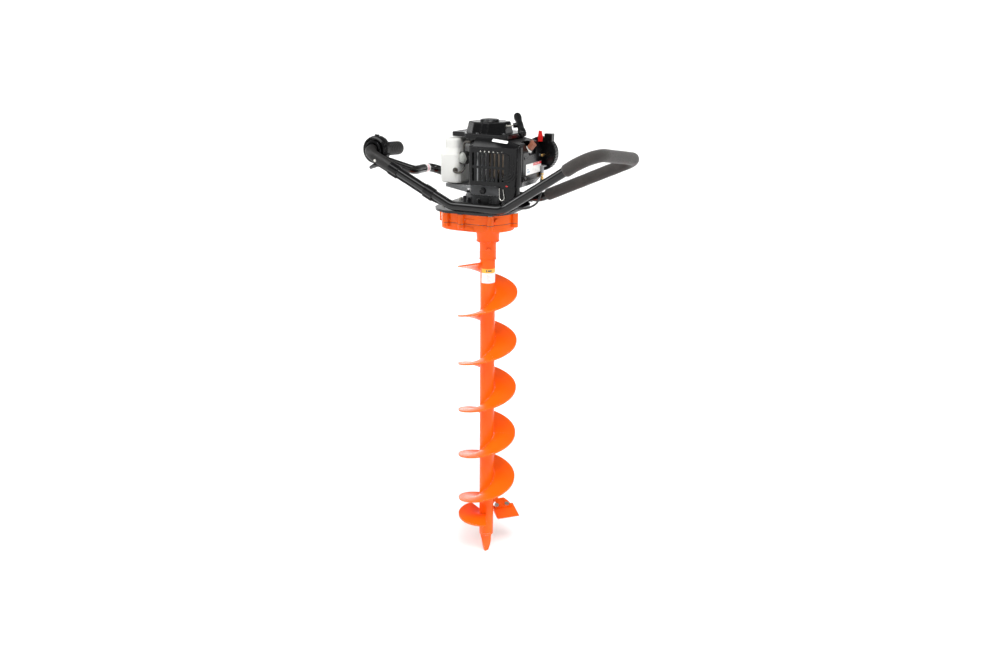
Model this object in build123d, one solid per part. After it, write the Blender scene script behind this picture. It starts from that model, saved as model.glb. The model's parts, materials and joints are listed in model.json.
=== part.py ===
from build123d import *
from math import acos, asin, atan2, cos, degrees, pi, radians, sin, sqrt, tan
import os

# Petrol ice fishing auger. Millimetres, +Z up. The origin is the tip of the pilot point,
# +Z runs up the drive axis, +X points to the padded handle loop, -Y to the exhaust side.

# ---- driving dimensions -------------------------------------------------------------
FLIGHT_R = 76.2            # six inch auger
FLIGHT_PITCH = 130.2
FLIGHT_THICK = 4.0
FLIGHT_FOOT_ANGLE = 90.0   # where the lowest edge of the main flight lies, from +X
FLIGHT_FOOT_Z = 122.8
FLIGHT_TOP_Z = 828.0
FLIGHT_SECTIONS = 3

BIT_TUBE_R = 19.05
BIT_TUBE_WALL = 3.2
POINT_TOP_Z = 62.0
SOCKET_R = 21.0
SOCKET_BOTTOM_Z = 838.0
SOCKET_TOP_Z = 882.0
SOCKET_BOLT_Z = 862.0
SOCKET_BOLT_R = 4.0
SOCKET_BOLT_TURN = -60.0   # direction of the bolt head, from +X
SHAFT_R = 12.5
WELD_GAP = 0.1             # left between welded parts, in place of the weld

HUB_R = 30.0
HUB_BOTTOM_Z = 882.5
CASE_BOTTOM_Z = 916.0
CASE_SPLIT_Z = 934.0
CASE_TOP_Z = 958.0
CASE_R = 66.0
CASE_WALL = 8.0
CASE_FLOOR = 5.0
LUG_R = 8.5

GEAR_MODULE = 1.5
INPUT_TEETH, IDLER_TEETH = 10, 66
SMALL_TEETH, OUTPUT_TEETH = 12, 64
CENTRE_DISTANCE = GEAR_MODULE * (INPUT_TEETH + IDLER_TEETH) / 2
PRESSURE_ANGLE = radians(25)
BACKLASH = 0.2

PLATE_BOTTOM_Z = 967.0
PLATE_THICK = 5.8
TUBE_R = 11.1
TUBE_WALL = 1.6
FRAME_Z = 984.0
FRAME_HALF_DEPTH = 105.0
FOAM_R = 15.0
FOAM_FIT = 0.1
FOAM_START, FOAM_END = 0.70, 0.07   # shares of the loop's front and rear legs left bare

CRANK_Z = 1085.0           # height of the cylinder axis
BORE_R = 20.0
CRANK_THROW = 16.0
ROD_LENGTH = 60.0
CASTING_BASE_Z = 973.0

FIT = 0.05                 # radial clearance of a running fit
GAP = 0.3                  # clearance between separate bodies


# ---- small helpers ------------------------------------------------------------------
def post(radius, z0, z1, x=0.0, y=0.0):
    """Upright cylinder from z0 to z1."""
    base = (Align.CENTER, Align.CENTER, Align.MIN)
    return Pos(x, y, z0) * Cylinder(radius, z1 - z0, align=base)


def ring(outer, inner, z0, z1, x=0.0, y=0.0):
    """Upright ring from z0 to z1."""
    return post(outer, z0, z1, x, y) - post(inner, z0 - 1, z1 + 1, x, y)


def rod(start, end, radius):
    """Round bar between two points."""
    axis = Vector(*end) - Vector(*start)
    base = Plane(origin=start, z_dir=axis)
    return extrude(base * Circle(radius), amount=axis.length)


def block(x0, x1, y0, y1, z0, z1, corner=0.0):
    """Upright box with its vertical edges rounded by corner."""
    solid = Pos((x0 + x1) / 2, (y0 + y1) / 2, (z0 + z1) / 2) * Box(x1 - x0, y1 - y0, z1 - z0)
    return fillet(solid.edges().filter_by(Axis.Z), corner) if corner else solid


def hex_prism(radius, z0, z1, x=0.0, y=0.0):
    return Pos(x, y, z0) * extrude(RegularPolygon(radius, 6), amount=z1 - z0)


def stadium(radius, z0, z1):
    """Plan outline of the gear case: one round end on each gear axis."""
    web = block(-CENTRE_DISTANCE, 0, -radius, radius, z0, z1)
    return post(radius, z0, z1) + post(radius, z0, z1, -CENTRE_DISTANCE) + web


def bent_bar(points, radii, outer, inner=0.0):
    """Round bar or tube swept along straight runs joined by tangent arcs."""
    path = FilletPolyline(*points, radius=radii)
    section = Plane(origin=path @ 0, z_dir=path % 0) * Circle(outer)
    solid = sweep(section, path=path)
    if inner:
        hollow = Plane(origin=path @ 0, z_dir=path % 0) * Circle(inner)
        solid -= sweep(hollow, path=path)
    return solid


def between(start, end, fraction):
    return tuple(a + (b - a) * fraction for a, b in zip(start, end))


def involute_gear(teeth, z0, z1, x, turn, bore):
    """Spur gear with stub teeth. One tooth points along the angle turn, in degrees."""
    pitch_r = GEAR_MODULE * teeth / 2
    base_r = pitch_r * cos(PRESSURE_ANGLE)
    tip_r = pitch_r + 0.8 * GEAR_MODULE
    root_r = pitch_r - 1.0 * GEAR_MODULE
    half_pitch = pi / (2 * teeth) - BACKLASH / (4 * pitch_r)
    inv_pitch = tan(PRESSURE_ANGLE) - PRESSURE_ANGLE

    def half_angle(radius):
        angle = acos(min(1.0, base_r / radius))
        return half_pitch + inv_pitch - (tan(angle) - angle)

    start_r = max(root_r, base_r)
    radii = [start_r + (tip_r - start_r) * k / 4 for k in range(5)]
    if root_r < base_r:
        radii = [root_r] + radii
    flank = [(r, half_angle(max(r, base_r))) for r in radii]
    outline = []
    for tooth in range(teeth):
        middle = radians(turn) + 2 * pi * tooth / teeth
        sides = [(r, middle - a) for r, a in flank] + [(r, middle + a) for r, a in reversed(flank)]
        outline += [(r * cos(a), r * sin(a)) for r, a in sides]
    face = make_face(Polyline(*outline, close=True))
    return Pos(x, 0, z0) * extrude(face, amount=z1 - z0) - post(bore, z0 - 1, z1 + 1, x)


# ---- the bit ------------------------------------------------------------------------
def helical_plate(foot_z, top_z, foot_angle, pitch, inner, outer, thickness):
    """Ribbon of steel wound round the drive axis, square to it along every radius."""
    middle = (inner + outer) / 2
    path = Pos(0, 0, foot_z) * Rot(0, 0, foot_angle) * Helix(pitch, top_z - foot_z, middle)
    radial = (cos(radians(foot_angle)), sin(radians(foot_angle)), 0)
    section = Plane(origin=path @ 0, z_dir=path % 0, x_dir=radial)
    return sweep(section * Rectangle(outer - inner, thickness), path=path, is_frenet=True)


def flight_section(index):
    rise = (FLIGHT_TOP_Z - FLIGHT_FOOT_Z) / FLIGHT_SECTIONS
    foot_z = FLIGHT_FOOT_Z + rise * index
    foot_angle = FLIGHT_FOOT_ANGLE + 360 * rise * index / FLIGHT_PITCH
    return helical_plate(foot_z, foot_z + rise, foot_angle, FLIGHT_PITCH,
                         BIT_TUBE_R + WELD_GAP, FLIGHT_R, FLIGHT_THICK)


LOWER_FLIGHT_FOOT = 150.0   # the half flight opposite the blade, its angles from +X
LOWER_FLIGHT_SPAN = 145.0
LOWER_FLIGHT_Z = (111.0, 121.0)
LOWER_FLIGHT_THICK = 5.0

BLADE_LENGTH, BLADE_WIDTH, BLADE_THICK = 64.0, 52.0, 5.0
BLADE_PLACE = (37.2, 45.4, 106.4)
BLADE_TURN = 48.0
BLADE_RAKE = 16.0
BLADE_RISE = -3.4
BLADE_BOLT_OFFSETS = (-21.4, 9.8)
BLADE_BOLT_BACK = 18.5      # the bolts sit this far behind the blade's middle line
BLADE_BOLT_R = 4.0
CARRIER_EDGE = 12.0         # front edge of the plate over the blade, from its middle line
CARRIER_THICK = 5.0
CARRIER_R = 84.0


def blade_frame():
    """Local frame of the blade: x outwards, y backwards and up, z normal to its top."""
    return Pos(*BLADE_PLACE) * Rot(0, 0, BLADE_TURN) * Rot(0, -BLADE_RISE, 0) * Rot(BLADE_RAKE, 0, 0)


def bit_tube():
    return ring(BIT_TUBE_R, BIT_TUBE_R - BIT_TUBE_WALL, POINT_TOP_Z + GAP, SOCKET_BOTTOM_Z + 6)


def bit_socket():
    sleeve = post(SOCKET_R, SOCKET_BOTTOM_Z, SOCKET_TOP_Z)
    sleeve = chamfer(sleeve.edges().sort_by(Axis.Z)[-1], 1.5)
    sleeve -= post(BIT_TUBE_R + FIT, SOCKET_BOTTOM_Z - 1, SOCKET_BOTTOM_Z + 6.5)
    sleeve -= post(SHAFT_R + FIT, SOCKET_BOTTOM_Z, SOCKET_TOP_Z + 1)
    return sleeve - cross_hole()


def cross_hole():
    """Hole for the bolt that pins the bit's socket to the output shaft."""
    reach = 2 * SOCKET_R
    hole = rod((-reach, 0, SOCKET_BOLT_Z), (reach, 0, SOCKET_BOLT_Z), SOCKET_BOLT_R + FIT)
    return Rot(0, 0, SOCKET_BOLT_TURN) * hole


def socket_bolt():
    head_r, head_height, nut_height = 7.5, 5.3, 6.5
    start, end = (-SOCKET_R - 8, 0, SOCKET_BOLT_Z), (SOCKET_R + head_height, 0, SOCKET_BOLT_Z)
    lie = Pos(0, 0, SOCKET_BOLT_Z) * Rot(0, 90, 0)
    inner = SOCKET_R + WELD_GAP
    head = lie * hex_prism(head_r, inner, inner + head_height)
    nut = lie * hex_prism(head_r, -inner - nut_height, -inner)
    nut -= rod((-2 * SOCKET_R, 0, SOCKET_BOLT_Z), (0, 0, SOCKET_BOLT_Z), SOCKET_BOLT_R + WELD_GAP)
    turn = Rot(0, 0, SOCKET_BOLT_TURN)
    return [turn * (rod(start, end, SOCKET_BOLT_R) + head), turn * nut]


def lower_half_flight():
    foot_z, top_z = LOWER_FLIGHT_Z
    pitch = (top_z - foot_z) * 360 / LOWER_FLIGHT_SPAN
    return helical_plate(foot_z, top_z, LOWER_FLIGHT_FOOT, pitch,
                         BIT_TUBE_R + WELD_GAP, FLIGHT_R, LOWER_FLIGHT_THICK)


def cutting_blade():
    plate = Box(BLADE_LENGTH, BLADE_WIDTH, BLADE_THICK)
    edge = plate.edges().filter_by(Axis.X).group_by(Axis.Y)[0].sort_by(Axis.Z)[0]
    plate = chamfer(edge, BLADE_THICK - 1, 9)
    return blade_frame() * (plate - blade_bolt_holes())


def blade_bolt_holes():
    holes = [Pos(x, BLADE_BOLT_BACK, 0) * Cylinder(BLADE_BOLT_R + WELD_GAP, 40)
             for x in BLADE_BOLT_OFFSETS]
    return holes[0] + holes[1]


def blade_bolts():
    solids = []
    top = BLADE_THICK / 2 + CARRIER_THICK + 2 * WELD_GAP
    for x in BLADE_BOLT_OFFSETS:
        shank = post(BLADE_BOLT_R, -6, top, x, BLADE_BOLT_BACK)
        head = hex_prism(6.8, top, top + 3.9, x, BLADE_BOLT_BACK)
        solids.append(blade_frame() * (shank + head))
    return solids


def blade_carrier():
    """Plate over the back of the blade, welded to the tube and the foot of the main flight."""
    base = BLADE_THICK / 2 + WELD_GAP
    seat = block(-44, 32, CARRIER_EDGE, CARRIER_EDGE + 34, base, base + CARRIER_THICK)
    seat = blade_frame() * (seat - blade_bolt_holes())
    seat &= post(CARRIER_R, 60, 160)
    seat -= post(BIT_TUBE_R + WELD_GAP, 0, 300)
    foot = helical_plate(FLIGHT_FOOT_Z - 8, FLIGHT_FOOT_Z + 40, FLIGHT_FOOT_ANGLE - 22, FLIGHT_PITCH,
                         BIT_TUBE_R, FLIGHT_R + 10, FLIGHT_THICK + 0.4)
    pieces = (seat - foot).solids().sort_by(SortBy.VOLUME)
    return pieces[-1]


def pilot_point():
    """Tapered earth point with a twisted flat tip."""
    levels = [(0.0, 70, 11, 6), (POINT_TOP_Z / 2, 35, 24, 12), (POINT_TOP_Z, 0, 34, 18)]
    sections = [Plane.XY.offset(z) * Rot(0, 0, turn) * Rectangle(wide, deep)
                for z, turn, wide, deep in levels]
    blade = loft([section.face() for section in sections])
    plug = post(BIT_TUBE_R - BIT_TUBE_WALL - WELD_GAP, POINT_TOP_Z, POINT_TOP_Z + 25)
    cap = post(BIT_TUBE_R, POINT_TOP_Z - 6, POINT_TOP_Z)
    return blade + plug + cap


def output_shaft():
    shaft = post(SHAFT_R, SOCKET_BOTTOM_Z + 8, CASE_SPLIT_Z + 2)
    return shaft - cross_hole()


OUTPUT_GEAR_Z = (923.0, 935.0)
SMALL_GEAR_Z = (922.5, 936.5)
IDLER_GEAR_Z = (939.0, 949.0)
PINION_Z = (938.0, 950.0)
IDLER_SHAFT_R, IDLER_SHAFT_Z = 6.0, (918.0, 956.0)
DRUM_SHAFT_R = 7.5
DRUM_R, DRUM_WALL, DRUM_Z = 40.0, 3.0, (976.0, 1000.0)


def output_gear():
    gap_at_mesh = 180 + 180 / OUTPUT_TEETH
    return involute_gear(OUTPUT_TEETH, *OUTPUT_GEAR_Z, 0, gap_at_mesh, SHAFT_R + 0.02)


# ---- gear train ---------------------------------------------------------------------
def idler_shaft():
    """Layshaft cut with the small gear that drives the output gear."""
    shaft = post(IDLER_SHAFT_R, *IDLER_SHAFT_Z, -CENTRE_DISTANCE)
    return shaft + involute_gear(SMALL_TEETH, *SMALL_GEAR_Z, -CENTRE_DISTANCE, 0, 1.0)


def idler_gear():
    """Large gear on the layshaft, lightened by a ring of holes."""
    gear = involute_gear(IDLER_TEETH, *IDLER_GEAR_Z, -CENTRE_DISTANCE, 180 / IDLER_TEETH,
                         IDLER_SHAFT_R + 0.02)
    hole_r, hole_circle = 9.0, 30.0
    for k in range(6):
        angle = radians(60 * k)
        x, y = hole_circle * cos(angle) - CENTRE_DISTANCE, hole_circle * sin(angle)
        gear -= post(hole_r, *PINION_Z, x, y)
    return gear


def clutch_drum():
    """Clutch drum on its pinion shaft."""
    low, high = DRUM_Z
    cup = post(DRUM_R, low, high) - post(DRUM_R - DRUM_WALL, low + DRUM_WALL, high + 1)
    pinion = involute_gear(INPUT_TEETH, *PINION_Z, 0, 180, 1.0) + post(2, PINION_Z[0], PINION_Z[1] + 1)
    return cup + post(DRUM_SHAFT_R, PINION_Z[1], low + 1) + pinion


def bearing(outer, inner, z0, z1, x=0.0):
    """Sealed ball bearing drawn as its two races with a recessed shield between."""
    race = ring(outer, inner + FIT, z0, z1, x)
    middle = (outer + inner) / 2
    width = (outer - inner) / 4
    groove = ring(middle + width, middle - width, z1 - 0.8, z1 + 1, x)
    return race - groove


HUB_BEARING_R, IDLER_BEARING_R, DRUM_BEARING_R = 23.5, 13.0, 16.0
HUB_BEARINGS_Z = ((886.0, 898.0), (905.0, 917.0))
IDLER_BEARINGS_Z = ((917.2, 922.0), (950.5, 956.0))
DRUM_BEARING_Z = (957.0, 966.0)


def bearings():
    hub = [bearing(HUB_BEARING_R, SHAFT_R, *span) for span in HUB_BEARINGS_Z]
    idler = [bearing(IDLER_BEARING_R, IDLER_SHAFT_R, *span, -CENTRE_DISTANCE)
             for span in IDLER_BEARINGS_Z]
    return hub + idler + [bearing(DRUM_BEARING_R, DRUM_SHAFT_R, *DRUM_BEARING_Z)]


LUG_PLACES = [(0, 3), (0, 60), (0, -60), (1, 76), (1, -76), (1, 112), (1, -112), (1, 180)]
LUG_OFFSET = CASE_R + 5.0
LUG_BOTTOM_Z = CASE_BOTTOM_Z + 8
CASE_BOLT_R, CASE_BOLT_HOLE_R = 3.0, 3.2
GASKET_THICK = 1.0


def lug_centres():
    """Bolt lugs round the case: (gear axis, angle) pairs turned into places."""
    centres = []
    for end, angle in LUG_PLACES:
        x = -CENTRE_DISTANCE * end + LUG_OFFSET * cos(radians(angle))
        centres.append((x, LUG_OFFSET * sin(radians(angle))))
    return centres


def gear_case_lower():
    case = stadium(CASE_R, CASE_BOTTOM_Z, CASE_SPLIT_Z)
    for x, y in lug_centres():
        case += post(LUG_R, LUG_BOTTOM_Z, CASE_SPLIT_Z, x, y)
    case += Pos(0, 0, HUB_BOTTOM_Z) * extrude(Circle(HUB_R - 2), amount=34, taper=-3)
    case -= stadium(CASE_R - CASE_WALL, CASE_BOTTOM_Z + CASE_FLOOR, CASE_SPLIT_Z + 1)
    case -= post(SHAFT_R + 2, HUB_BOTTOM_Z - 1, CASE_SPLIT_Z)
    lower, upper = HUB_BEARINGS_Z
    case -= post(HUB_BEARING_R, lower[0], CASE_SPLIT_Z)
    case += ring(HUB_BEARING_R, 20.0, lower[1], upper[0])
    case -= post(IDLER_BEARING_R, IDLER_BEARINGS_Z[0][0], CASE_SPLIT_Z, -CENTRE_DISTANCE)
    for x, y in lug_centres():
        case -= post(CASE_BOLT_HOLE_R, CASE_BOTTOM_Z, CASE_SPLIT_Z + 1, x, y)
    return case


STUD_PLACES = [(43, 45), (43, -45), (-100, 45), (-100, -45)]
STUD_DEPTH = 12.0


def gear_case_upper():
    base = CASE_SPLIT_Z + GASKET_THICK
    case = stadium(CASE_R, base, CASE_TOP_Z)
    for x, y in lug_centres():
        case += post(LUG_R, base, CASE_TOP_Z, x, y)
    case += post(22, CASE_TOP_Z, PLATE_BOTTOM_Z - 0.4)
    case -= stadium(CASE_R - CASE_WALL, base - 1, CASE_TOP_Z - 5)
    case += post(18, CASE_TOP_Z - 7, CASE_TOP_Z - 4, -CENTRE_DISTANCE)
    case -= post(IDLER_BEARING_R, PINION_Z[1], IDLER_BEARINGS_Z[1][1], -CENTRE_DISTANCE)
    case -= post(DRUM_SHAFT_R + 2, PINION_Z[1], PLATE_BOTTOM_Z)
    case -= post(DRUM_BEARING_R, DRUM_BEARING_Z[0], PLATE_BOTTOM_Z)
    for x, y in lug_centres():
        case -= post(CASE_BOLT_HOLE_R, base - 1, CASE_TOP_Z + 1, x, y)
    for x, y in STUD_PLACES:
        case -= post(CASE_BOLT_R + 0.1, CASE_TOP_Z - STUD_DEPTH, CASE_TOP_Z + 1, x, y)
    return case


def case_gasket():
    top = CASE_SPLIT_Z + GASKET_THICK
    sheet = stadium(CASE_R, CASE_SPLIT_Z, top)
    for x, y in lug_centres():
        sheet += post(LUG_R, CASE_SPLIT_Z, top, x, y)
    sheet -= stadium(CASE_R - CASE_WALL, CASE_SPLIT_Z - 1, top + 1)
    for x, y in lug_centres():
        sheet -= post(CASE_BOLT_HOLE_R, CASE_SPLIT_Z - 1, top + 1, x, y)
    return sheet


def case_bolts():
    solids = []
    for x, y in lug_centres():
        head = hex_prism(5.6, CASE_TOP_Z + 0.1, CASE_TOP_Z + 4.5, x, y)
        solids.append(post(CASE_BOLT_R, LUG_BOTTOM_Z + 1, CASE_TOP_Z + 1, x, y) + head)
    return solids


# ---- frame --------------------------------------------------------------------------
PLATE_LEFT, PLATE_RIGHT = -114.0, 88.0
PLATE_CORNER = 66.0
FLANGE_BOLT_R = 67.0
FLANGE_BOLT_ANGLES = (-125, -82, -40, 40, 82, 125)


def flange_bolt_places():
    return [(FLANGE_BOLT_R * cos(radians(a)), FLANGE_BOLT_R * sin(radians(a)))
            for a in FLANGE_BOLT_ANGLES]


def mounting_plate():
    top = PLATE_BOTTOM_Z + PLATE_THICK
    plate = block(PLATE_LEFT, PLATE_RIGHT, -113, 113, PLATE_BOTTOM_Z, top, PLATE_CORNER)
    plate -= post(30, PLATE_BOTTOM_Z - 1, top + 1)
    for x, y in STUD_PLACES:
        plate -= post(3.3, PLATE_BOTTOM_Z - 1, top + 1, x, y)
    for x, y in flange_bolt_places():
        plate -= post(3.3, PLATE_BOTTOM_Z - 1, top + 1, x, y)
    return plate


def mount_bolts():
    """Studs with spacers that carry the plate on the gear case, and the engine bolts."""
    top = PLATE_BOTTOM_Z + PLATE_THICK
    solids = []
    for x, y in STUD_PLACES:
        spacer = ring(7, 3.1, CASE_TOP_Z, PLATE_BOTTOM_Z, x, y)
        nut = hex_prism(5.8, top + 0.1, top + 5, x, y)
        solids += [spacer, post(3.0, CASE_TOP_Z - 11, top + 7, x, y) + nut]
    for x, y in flange_bolt_places():
        head = hex_prism(5.8, CASTING_BASE_Z + 6.1, CASTING_BASE_Z + 10, x, y)
        solids.append(post(3.0, PLATE_BOTTOM_Z - 2, CASTING_BASE_Z + 7, x, y) + head)
    return solids


GRIP_CORNER = (-285.0, -FRAME_HALF_DEPTH, 1101.0)
GRIP_END = (-285.0, 42.0, 1094.0)
FRONT_LEFT_BEND = (-46.0, -FRAME_HALF_DEPTH, FRAME_Z)
FRONT_RIGHT_BEND = (88.0, -FRAME_HALF_DEPTH, FRAME_Z)
LOOP_FRONT = (303.0, -FRAME_HALF_DEPTH, 1126.0)
LOOP_REAR = (344.0, FRAME_HALF_DEPTH, 1096.0)
LOOP_SEAM = between(LOOP_FRONT, LOOP_REAR, 0.78)
REAR_RIGHT_BEND = (96.0, FRAME_HALF_DEPTH, FRAME_Z)
REAR_LEFT_BEND = (-46.0, FRAME_HALF_DEPTH, FRAME_Z)
JOG_REAR = (-206.0, 86.0, 1046.0)
JOG_FRONT = (-192.0, -30.0, 1050.0)
JOG_END = (-248.0, -101.0, 1083.0)
CORNER_BEND, LOW_BEND, LOOP_BEND, LOOP_TIGHT_BEND, JOG_BEND = 30.0, 50.0, 62.0, 28.0, 36.0


FRONT_POINTS = [GRIP_END, GRIP_CORNER, FRONT_LEFT_BEND, FRONT_RIGHT_BEND, LOOP_FRONT, LOOP_SEAM]
FRONT_RADII = [CORNER_BEND, LOW_BEND, LOW_BEND, LOOP_BEND]


def front_handle_tube():
    return bent_bar(FRONT_POINTS, FRONT_RADII, TUBE_R, TUBE_R - TUBE_WALL)


def rear_handle_tube():
    points = [LOOP_SEAM, LOOP_REAR, REAR_RIGHT_BEND, REAR_LEFT_BEND, JOG_REAR, JOG_FRONT, JOG_END]
    radii = [LOOP_TIGHT_BEND, LOW_BEND, LOW_BEND, JOG_BEND, JOG_BEND]
    tube = bent_bar(points, radii, TUBE_R, TUBE_R - TUBE_WALL)
    return tube - bent_bar(FRONT_POINTS[:4], FRONT_RADII[:2], TUBE_R + 0.1)


def foam_pad():
    start = between(FRONT_RIGHT_BEND, LOOP_FRONT, FOAM_START)
    end = between(REAR_RIGHT_BEND, LOOP_REAR, FOAM_END)
    return bent_bar([start, LOOP_FRONT, LOOP_REAR, end], [LOOP_BEND, LOOP_TIGHT_BEND],
                    FOAM_R, TUBE_R + FOAM_FIT)


# ---- throttle head ------------------------------------------------------------------
def grip_frame():
    """Local frame on the hand grip bar: z runs rearwards along it, -y is up."""
    axis = Vector(*GRIP_END) - Vector(*GRIP_CORNER)
    return Plane(origin=GRIP_CORNER, x_dir=(1, 0, 0), z_dir=axis)


HEAD_FRONT, HEAD_BACK = 33.0, 62.0
HEAD_R = 35.0
TRIGGER_PIVOT = (0.0, 25.0, 55.0)
GRIP_BACK = 147.5
GRIP_R = 17.5
BAR_LENGTH = (Vector(*GRIP_END) - Vector(*GRIP_CORNER)).length


def throttle_housing():
    """Round hand guard with a raised rim, a groove and an inner ring on its front."""
    profile = Polyline(
        (TUBE_R + 0.1, HEAD_BACK), (TUBE_R + 0.1, HEAD_FRONT + 2), (17, HEAD_FRONT),
        (19, HEAD_FRONT - 5), (23, HEAD_FRONT - 4), (25, HEAD_FRONT + 6), (27, HEAD_FRONT + 6),
        (28.5, HEAD_FRONT + 1), (HEAD_R - 2, HEAD_FRONT + 4), (HEAD_R, HEAD_FRONT + 12),
        (HEAD_R, HEAD_BACK - 4), (HEAD_R - 4, HEAD_BACK), close=True)
    guard = revolve(Plane.XZ * make_face(profile), axis=Axis.Z)
    guard -= Pos(0, 27, 55) * Box(11, 20, 20)
    guard -= Pos(0, -30, 52) * Box(12, 14, 10)
    guard += Pos(*TRIGGER_PIVOT) * Rot(0, 90, 0) * Cylinder(2.5, 13)
    return grip_frame() * guard


def throttle_grip():
    """Ribbed rubber sleeve with a rounded, closed end."""
    sleeve = ring(GRIP_R, TUBE_R + 0.1, HEAD_BACK + 1, GRIP_BACK)
    for z in range(70, 140, 8):
        sleeve -= ring(GRIP_R + 1, GRIP_R - 1.0, z, z + 3)
    cap = post(GRIP_R, GRIP_BACK, GRIP_BACK + 5)
    cap = fillet(cap.edges().sort_by(Axis.Z)[-1], 3.5)
    return grip_frame() * (sleeve + cap)


def throttle_trigger():
    """Finger lever under the grip, hinged inside the guard."""
    px, py, pz = TRIGGER_PIVOT
    lever = Polyline((py - 4, pz - 4), (py + 6, pz - 3), (py + 8, pz + 8), (py + 11, pz + 40),
                     (py + 16, pz + 74), (py + 12, pz + 78), (py + 6, pz + 42), (py + 2, pz + 10),
                     (py - 4, pz + 5), close=True)
    plate = extrude(Plane.YZ * make_face(lever), amount=5, both=True)
    plate -= Pos(px, py, pz) * Rot(0, 90, 0) * Cylinder(2.55, 20)
    return grip_frame() * plate


def stop_switch():
    """Sliding engine stop button in the top of the guard."""
    return grip_frame() * (Pos(0, -34, 50.5) * Box(10, 8, 5))


TUBE_FALL = Vector(*FRONT_LEFT_BEND) - Vector(*GRIP_CORNER)
TUBE_FALL = TUBE_FALL.normalized()
UNDER_TUBE = Vector(TUBE_FALL.Z, 0, -TUBE_FALL.X)
CABLE_R = 2.6
CABLE_DROP = TUBE_R + CABLE_R + 1.1
CLAMP_PLACES = (78.0, 186.0)
CLAMP_LENGTH = 26.0


def under_tube(distance):
    """Point on the cable, a distance down the front tube from the grip corner."""
    place = Vector(*GRIP_CORNER) + TUBE_FALL * distance + UNDER_TUBE * CABLE_DROP
    return (place.X, place.Y, place.Z)


CABLE_START = (-283.0, -64.0, 1062.0)
CABLE_END = (122.5, 48.0, 1069.5)
CABLE_ROUTE = [
    CABLE_START,
    (-282.0, -98.0, 1057.0),
    under_tube(42),
    under_tube(224),
    (-60.0, -91.0, 979.5),
    (-30.0, -85.0, 978.0),
    (54.0, -83.0, 978.0),
    (88.0, -34.0, 977.0),
    (104.0, 6.0, 972.5),
    (119.0, 34.0, 982.0),
    (122.5, 48.0, 1012.0),
    CABLE_END,
]
CABLE_ARC_LIMIT = 45.0


def route_radii(points, limit=1000.0):
    """Largest tangent arc that each corner of a route leaves room for, up to a limit."""
    radii = []
    for before, here, after in zip(points, points[1:], points[2:]):
        arriving = Vector(*here) - Vector(*before)
        leaving = Vector(*after) - Vector(*here)
        turn = radians(arriving.get_angle(leaving))
        room = 0.45 * min(arriving.length, leaving.length) / tan(turn / 2)
        radii.append(min(room, limit))
    return radii


def throttle_cable():
    radii = route_radii(CABLE_ROUTE, CABLE_ARC_LIMIT)
    print("cable radii", [round(r, 1) for r in radii])
    path = FilletPolyline(*CABLE_ROUTE, radius=radii)
    cable = bent_bar(CABLE_ROUTE, radii, CABLE_R)
    print("cable length", round(path.length, 1), "volume ratio",
          round(cable.volume / (pi * CABLE_R ** 2 * path.length), 4))
    return cable


def cable_clamps():
    """Ribbed sleeves that hold the cable under the front tube."""
    solids = []
    for distance in CLAMP_PLACES:
        axis_point = Vector(*GRIP_CORNER) + TUBE_FALL * distance
        frame = Plane(origin=axis_point, x_dir=UNDER_TUBE, z_dir=TUBE_FALL)
        saddle = post(TUBE_R + 2, 0, CLAMP_LENGTH)
        saddle += post(CABLE_R + 2.2, 0, CLAMP_LENGTH, CABLE_DROP)
        saddle += block(0, TUBE_R + CABLE_R, -5, 5, 0, CLAMP_LENGTH)
        saddle -= post(TUBE_R + 0.1, -1, CLAMP_LENGTH + 1)
        saddle -= post(CABLE_R + 0.15, -1, CLAMP_LENGTH + 1, CABLE_DROP)
        solids.append(frame * saddle)
    return solids


# ---- engine -------------------------------------------------------------------------
def clutch_housing():
    base = CASTING_BASE_Z
    body = post(76, base, base + 6) + post(54, base + 6, base + 35)
    body -= post(44, base - 1, base + 30)
    body -= post(13, base, base + 40)
    for k in range(12):
        body += Rot(0, 0, 30 * k) * block(53, 62, -2, 2, base + 6, base + 24)
    for x, y in flange_bolt_places():
        body -= post(3.2, base - 1, base + 7, x, y)
        body -= post(8.0, base + 6, base + 12, x, y)
    for x, y in STUD_PLACES:
        body -= post(9.0, base - 1, base + 12, x, y)
    return body


def crankcase():
    low, high = CASTING_BASE_Z + 35.3, 1126
    case = post(46, low, high)
    case += block(20, 40, -34, 34, CRANK_Z - 34, CRANK_Z + 34)
    bracket = block(-98, -20, -44, 44, 1018, 1026, 6)
    for y in (-40, 0, 40):
        rib = make_face(Polyline((-94, 1018), (-38, 1018), (-38, 1008.5), close=True))
        bracket += Pos(0, y, 0) * extrude(Plane.XZ * rib, amount=2.5, both=True)
    case += bracket
    for k in range(10):
        angle = 36 * k
        if not 130 < angle < 230 and not (angle < 60 or angle > 300):
            case += Rot(0, 0, angle) * block(45, 49, -2, 2, low, high - 8)
    case -= block(40, 60, -50, 50, low - 1, high + 1)
    case -= post(36, CRANK_Z - 30, CRANK_Z + 30)
    case -= post(10.5, low - 1, high + 1)
    case -= rod((10, 0, CRANK_Z), (50, 0, CRANK_Z), BORE_R + 2.5)
    return case


def crankshaft():
    shaft = post(10.3, 1010, CRANK_Z - 22) + post(8, 1000.5, 1011)
    shaft += post(10.3, CRANK_Z + 22, 1128) + post(8, 1127, 1150.5)
    for z0 in (CRANK_Z - 23, CRANK_Z + 11):
        web = post(33, z0, z0 + 12) - block(4, 40, 12, 40, z0 - 1, z0 + 13)
        web -= block(4, 40, -40, -12, z0 - 1, z0 + 13)
        shaft += web
    shaft += post(7, CRANK_Z - 12, CRANK_Z + 12, CRANK_THROW)
    return shaft


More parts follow.
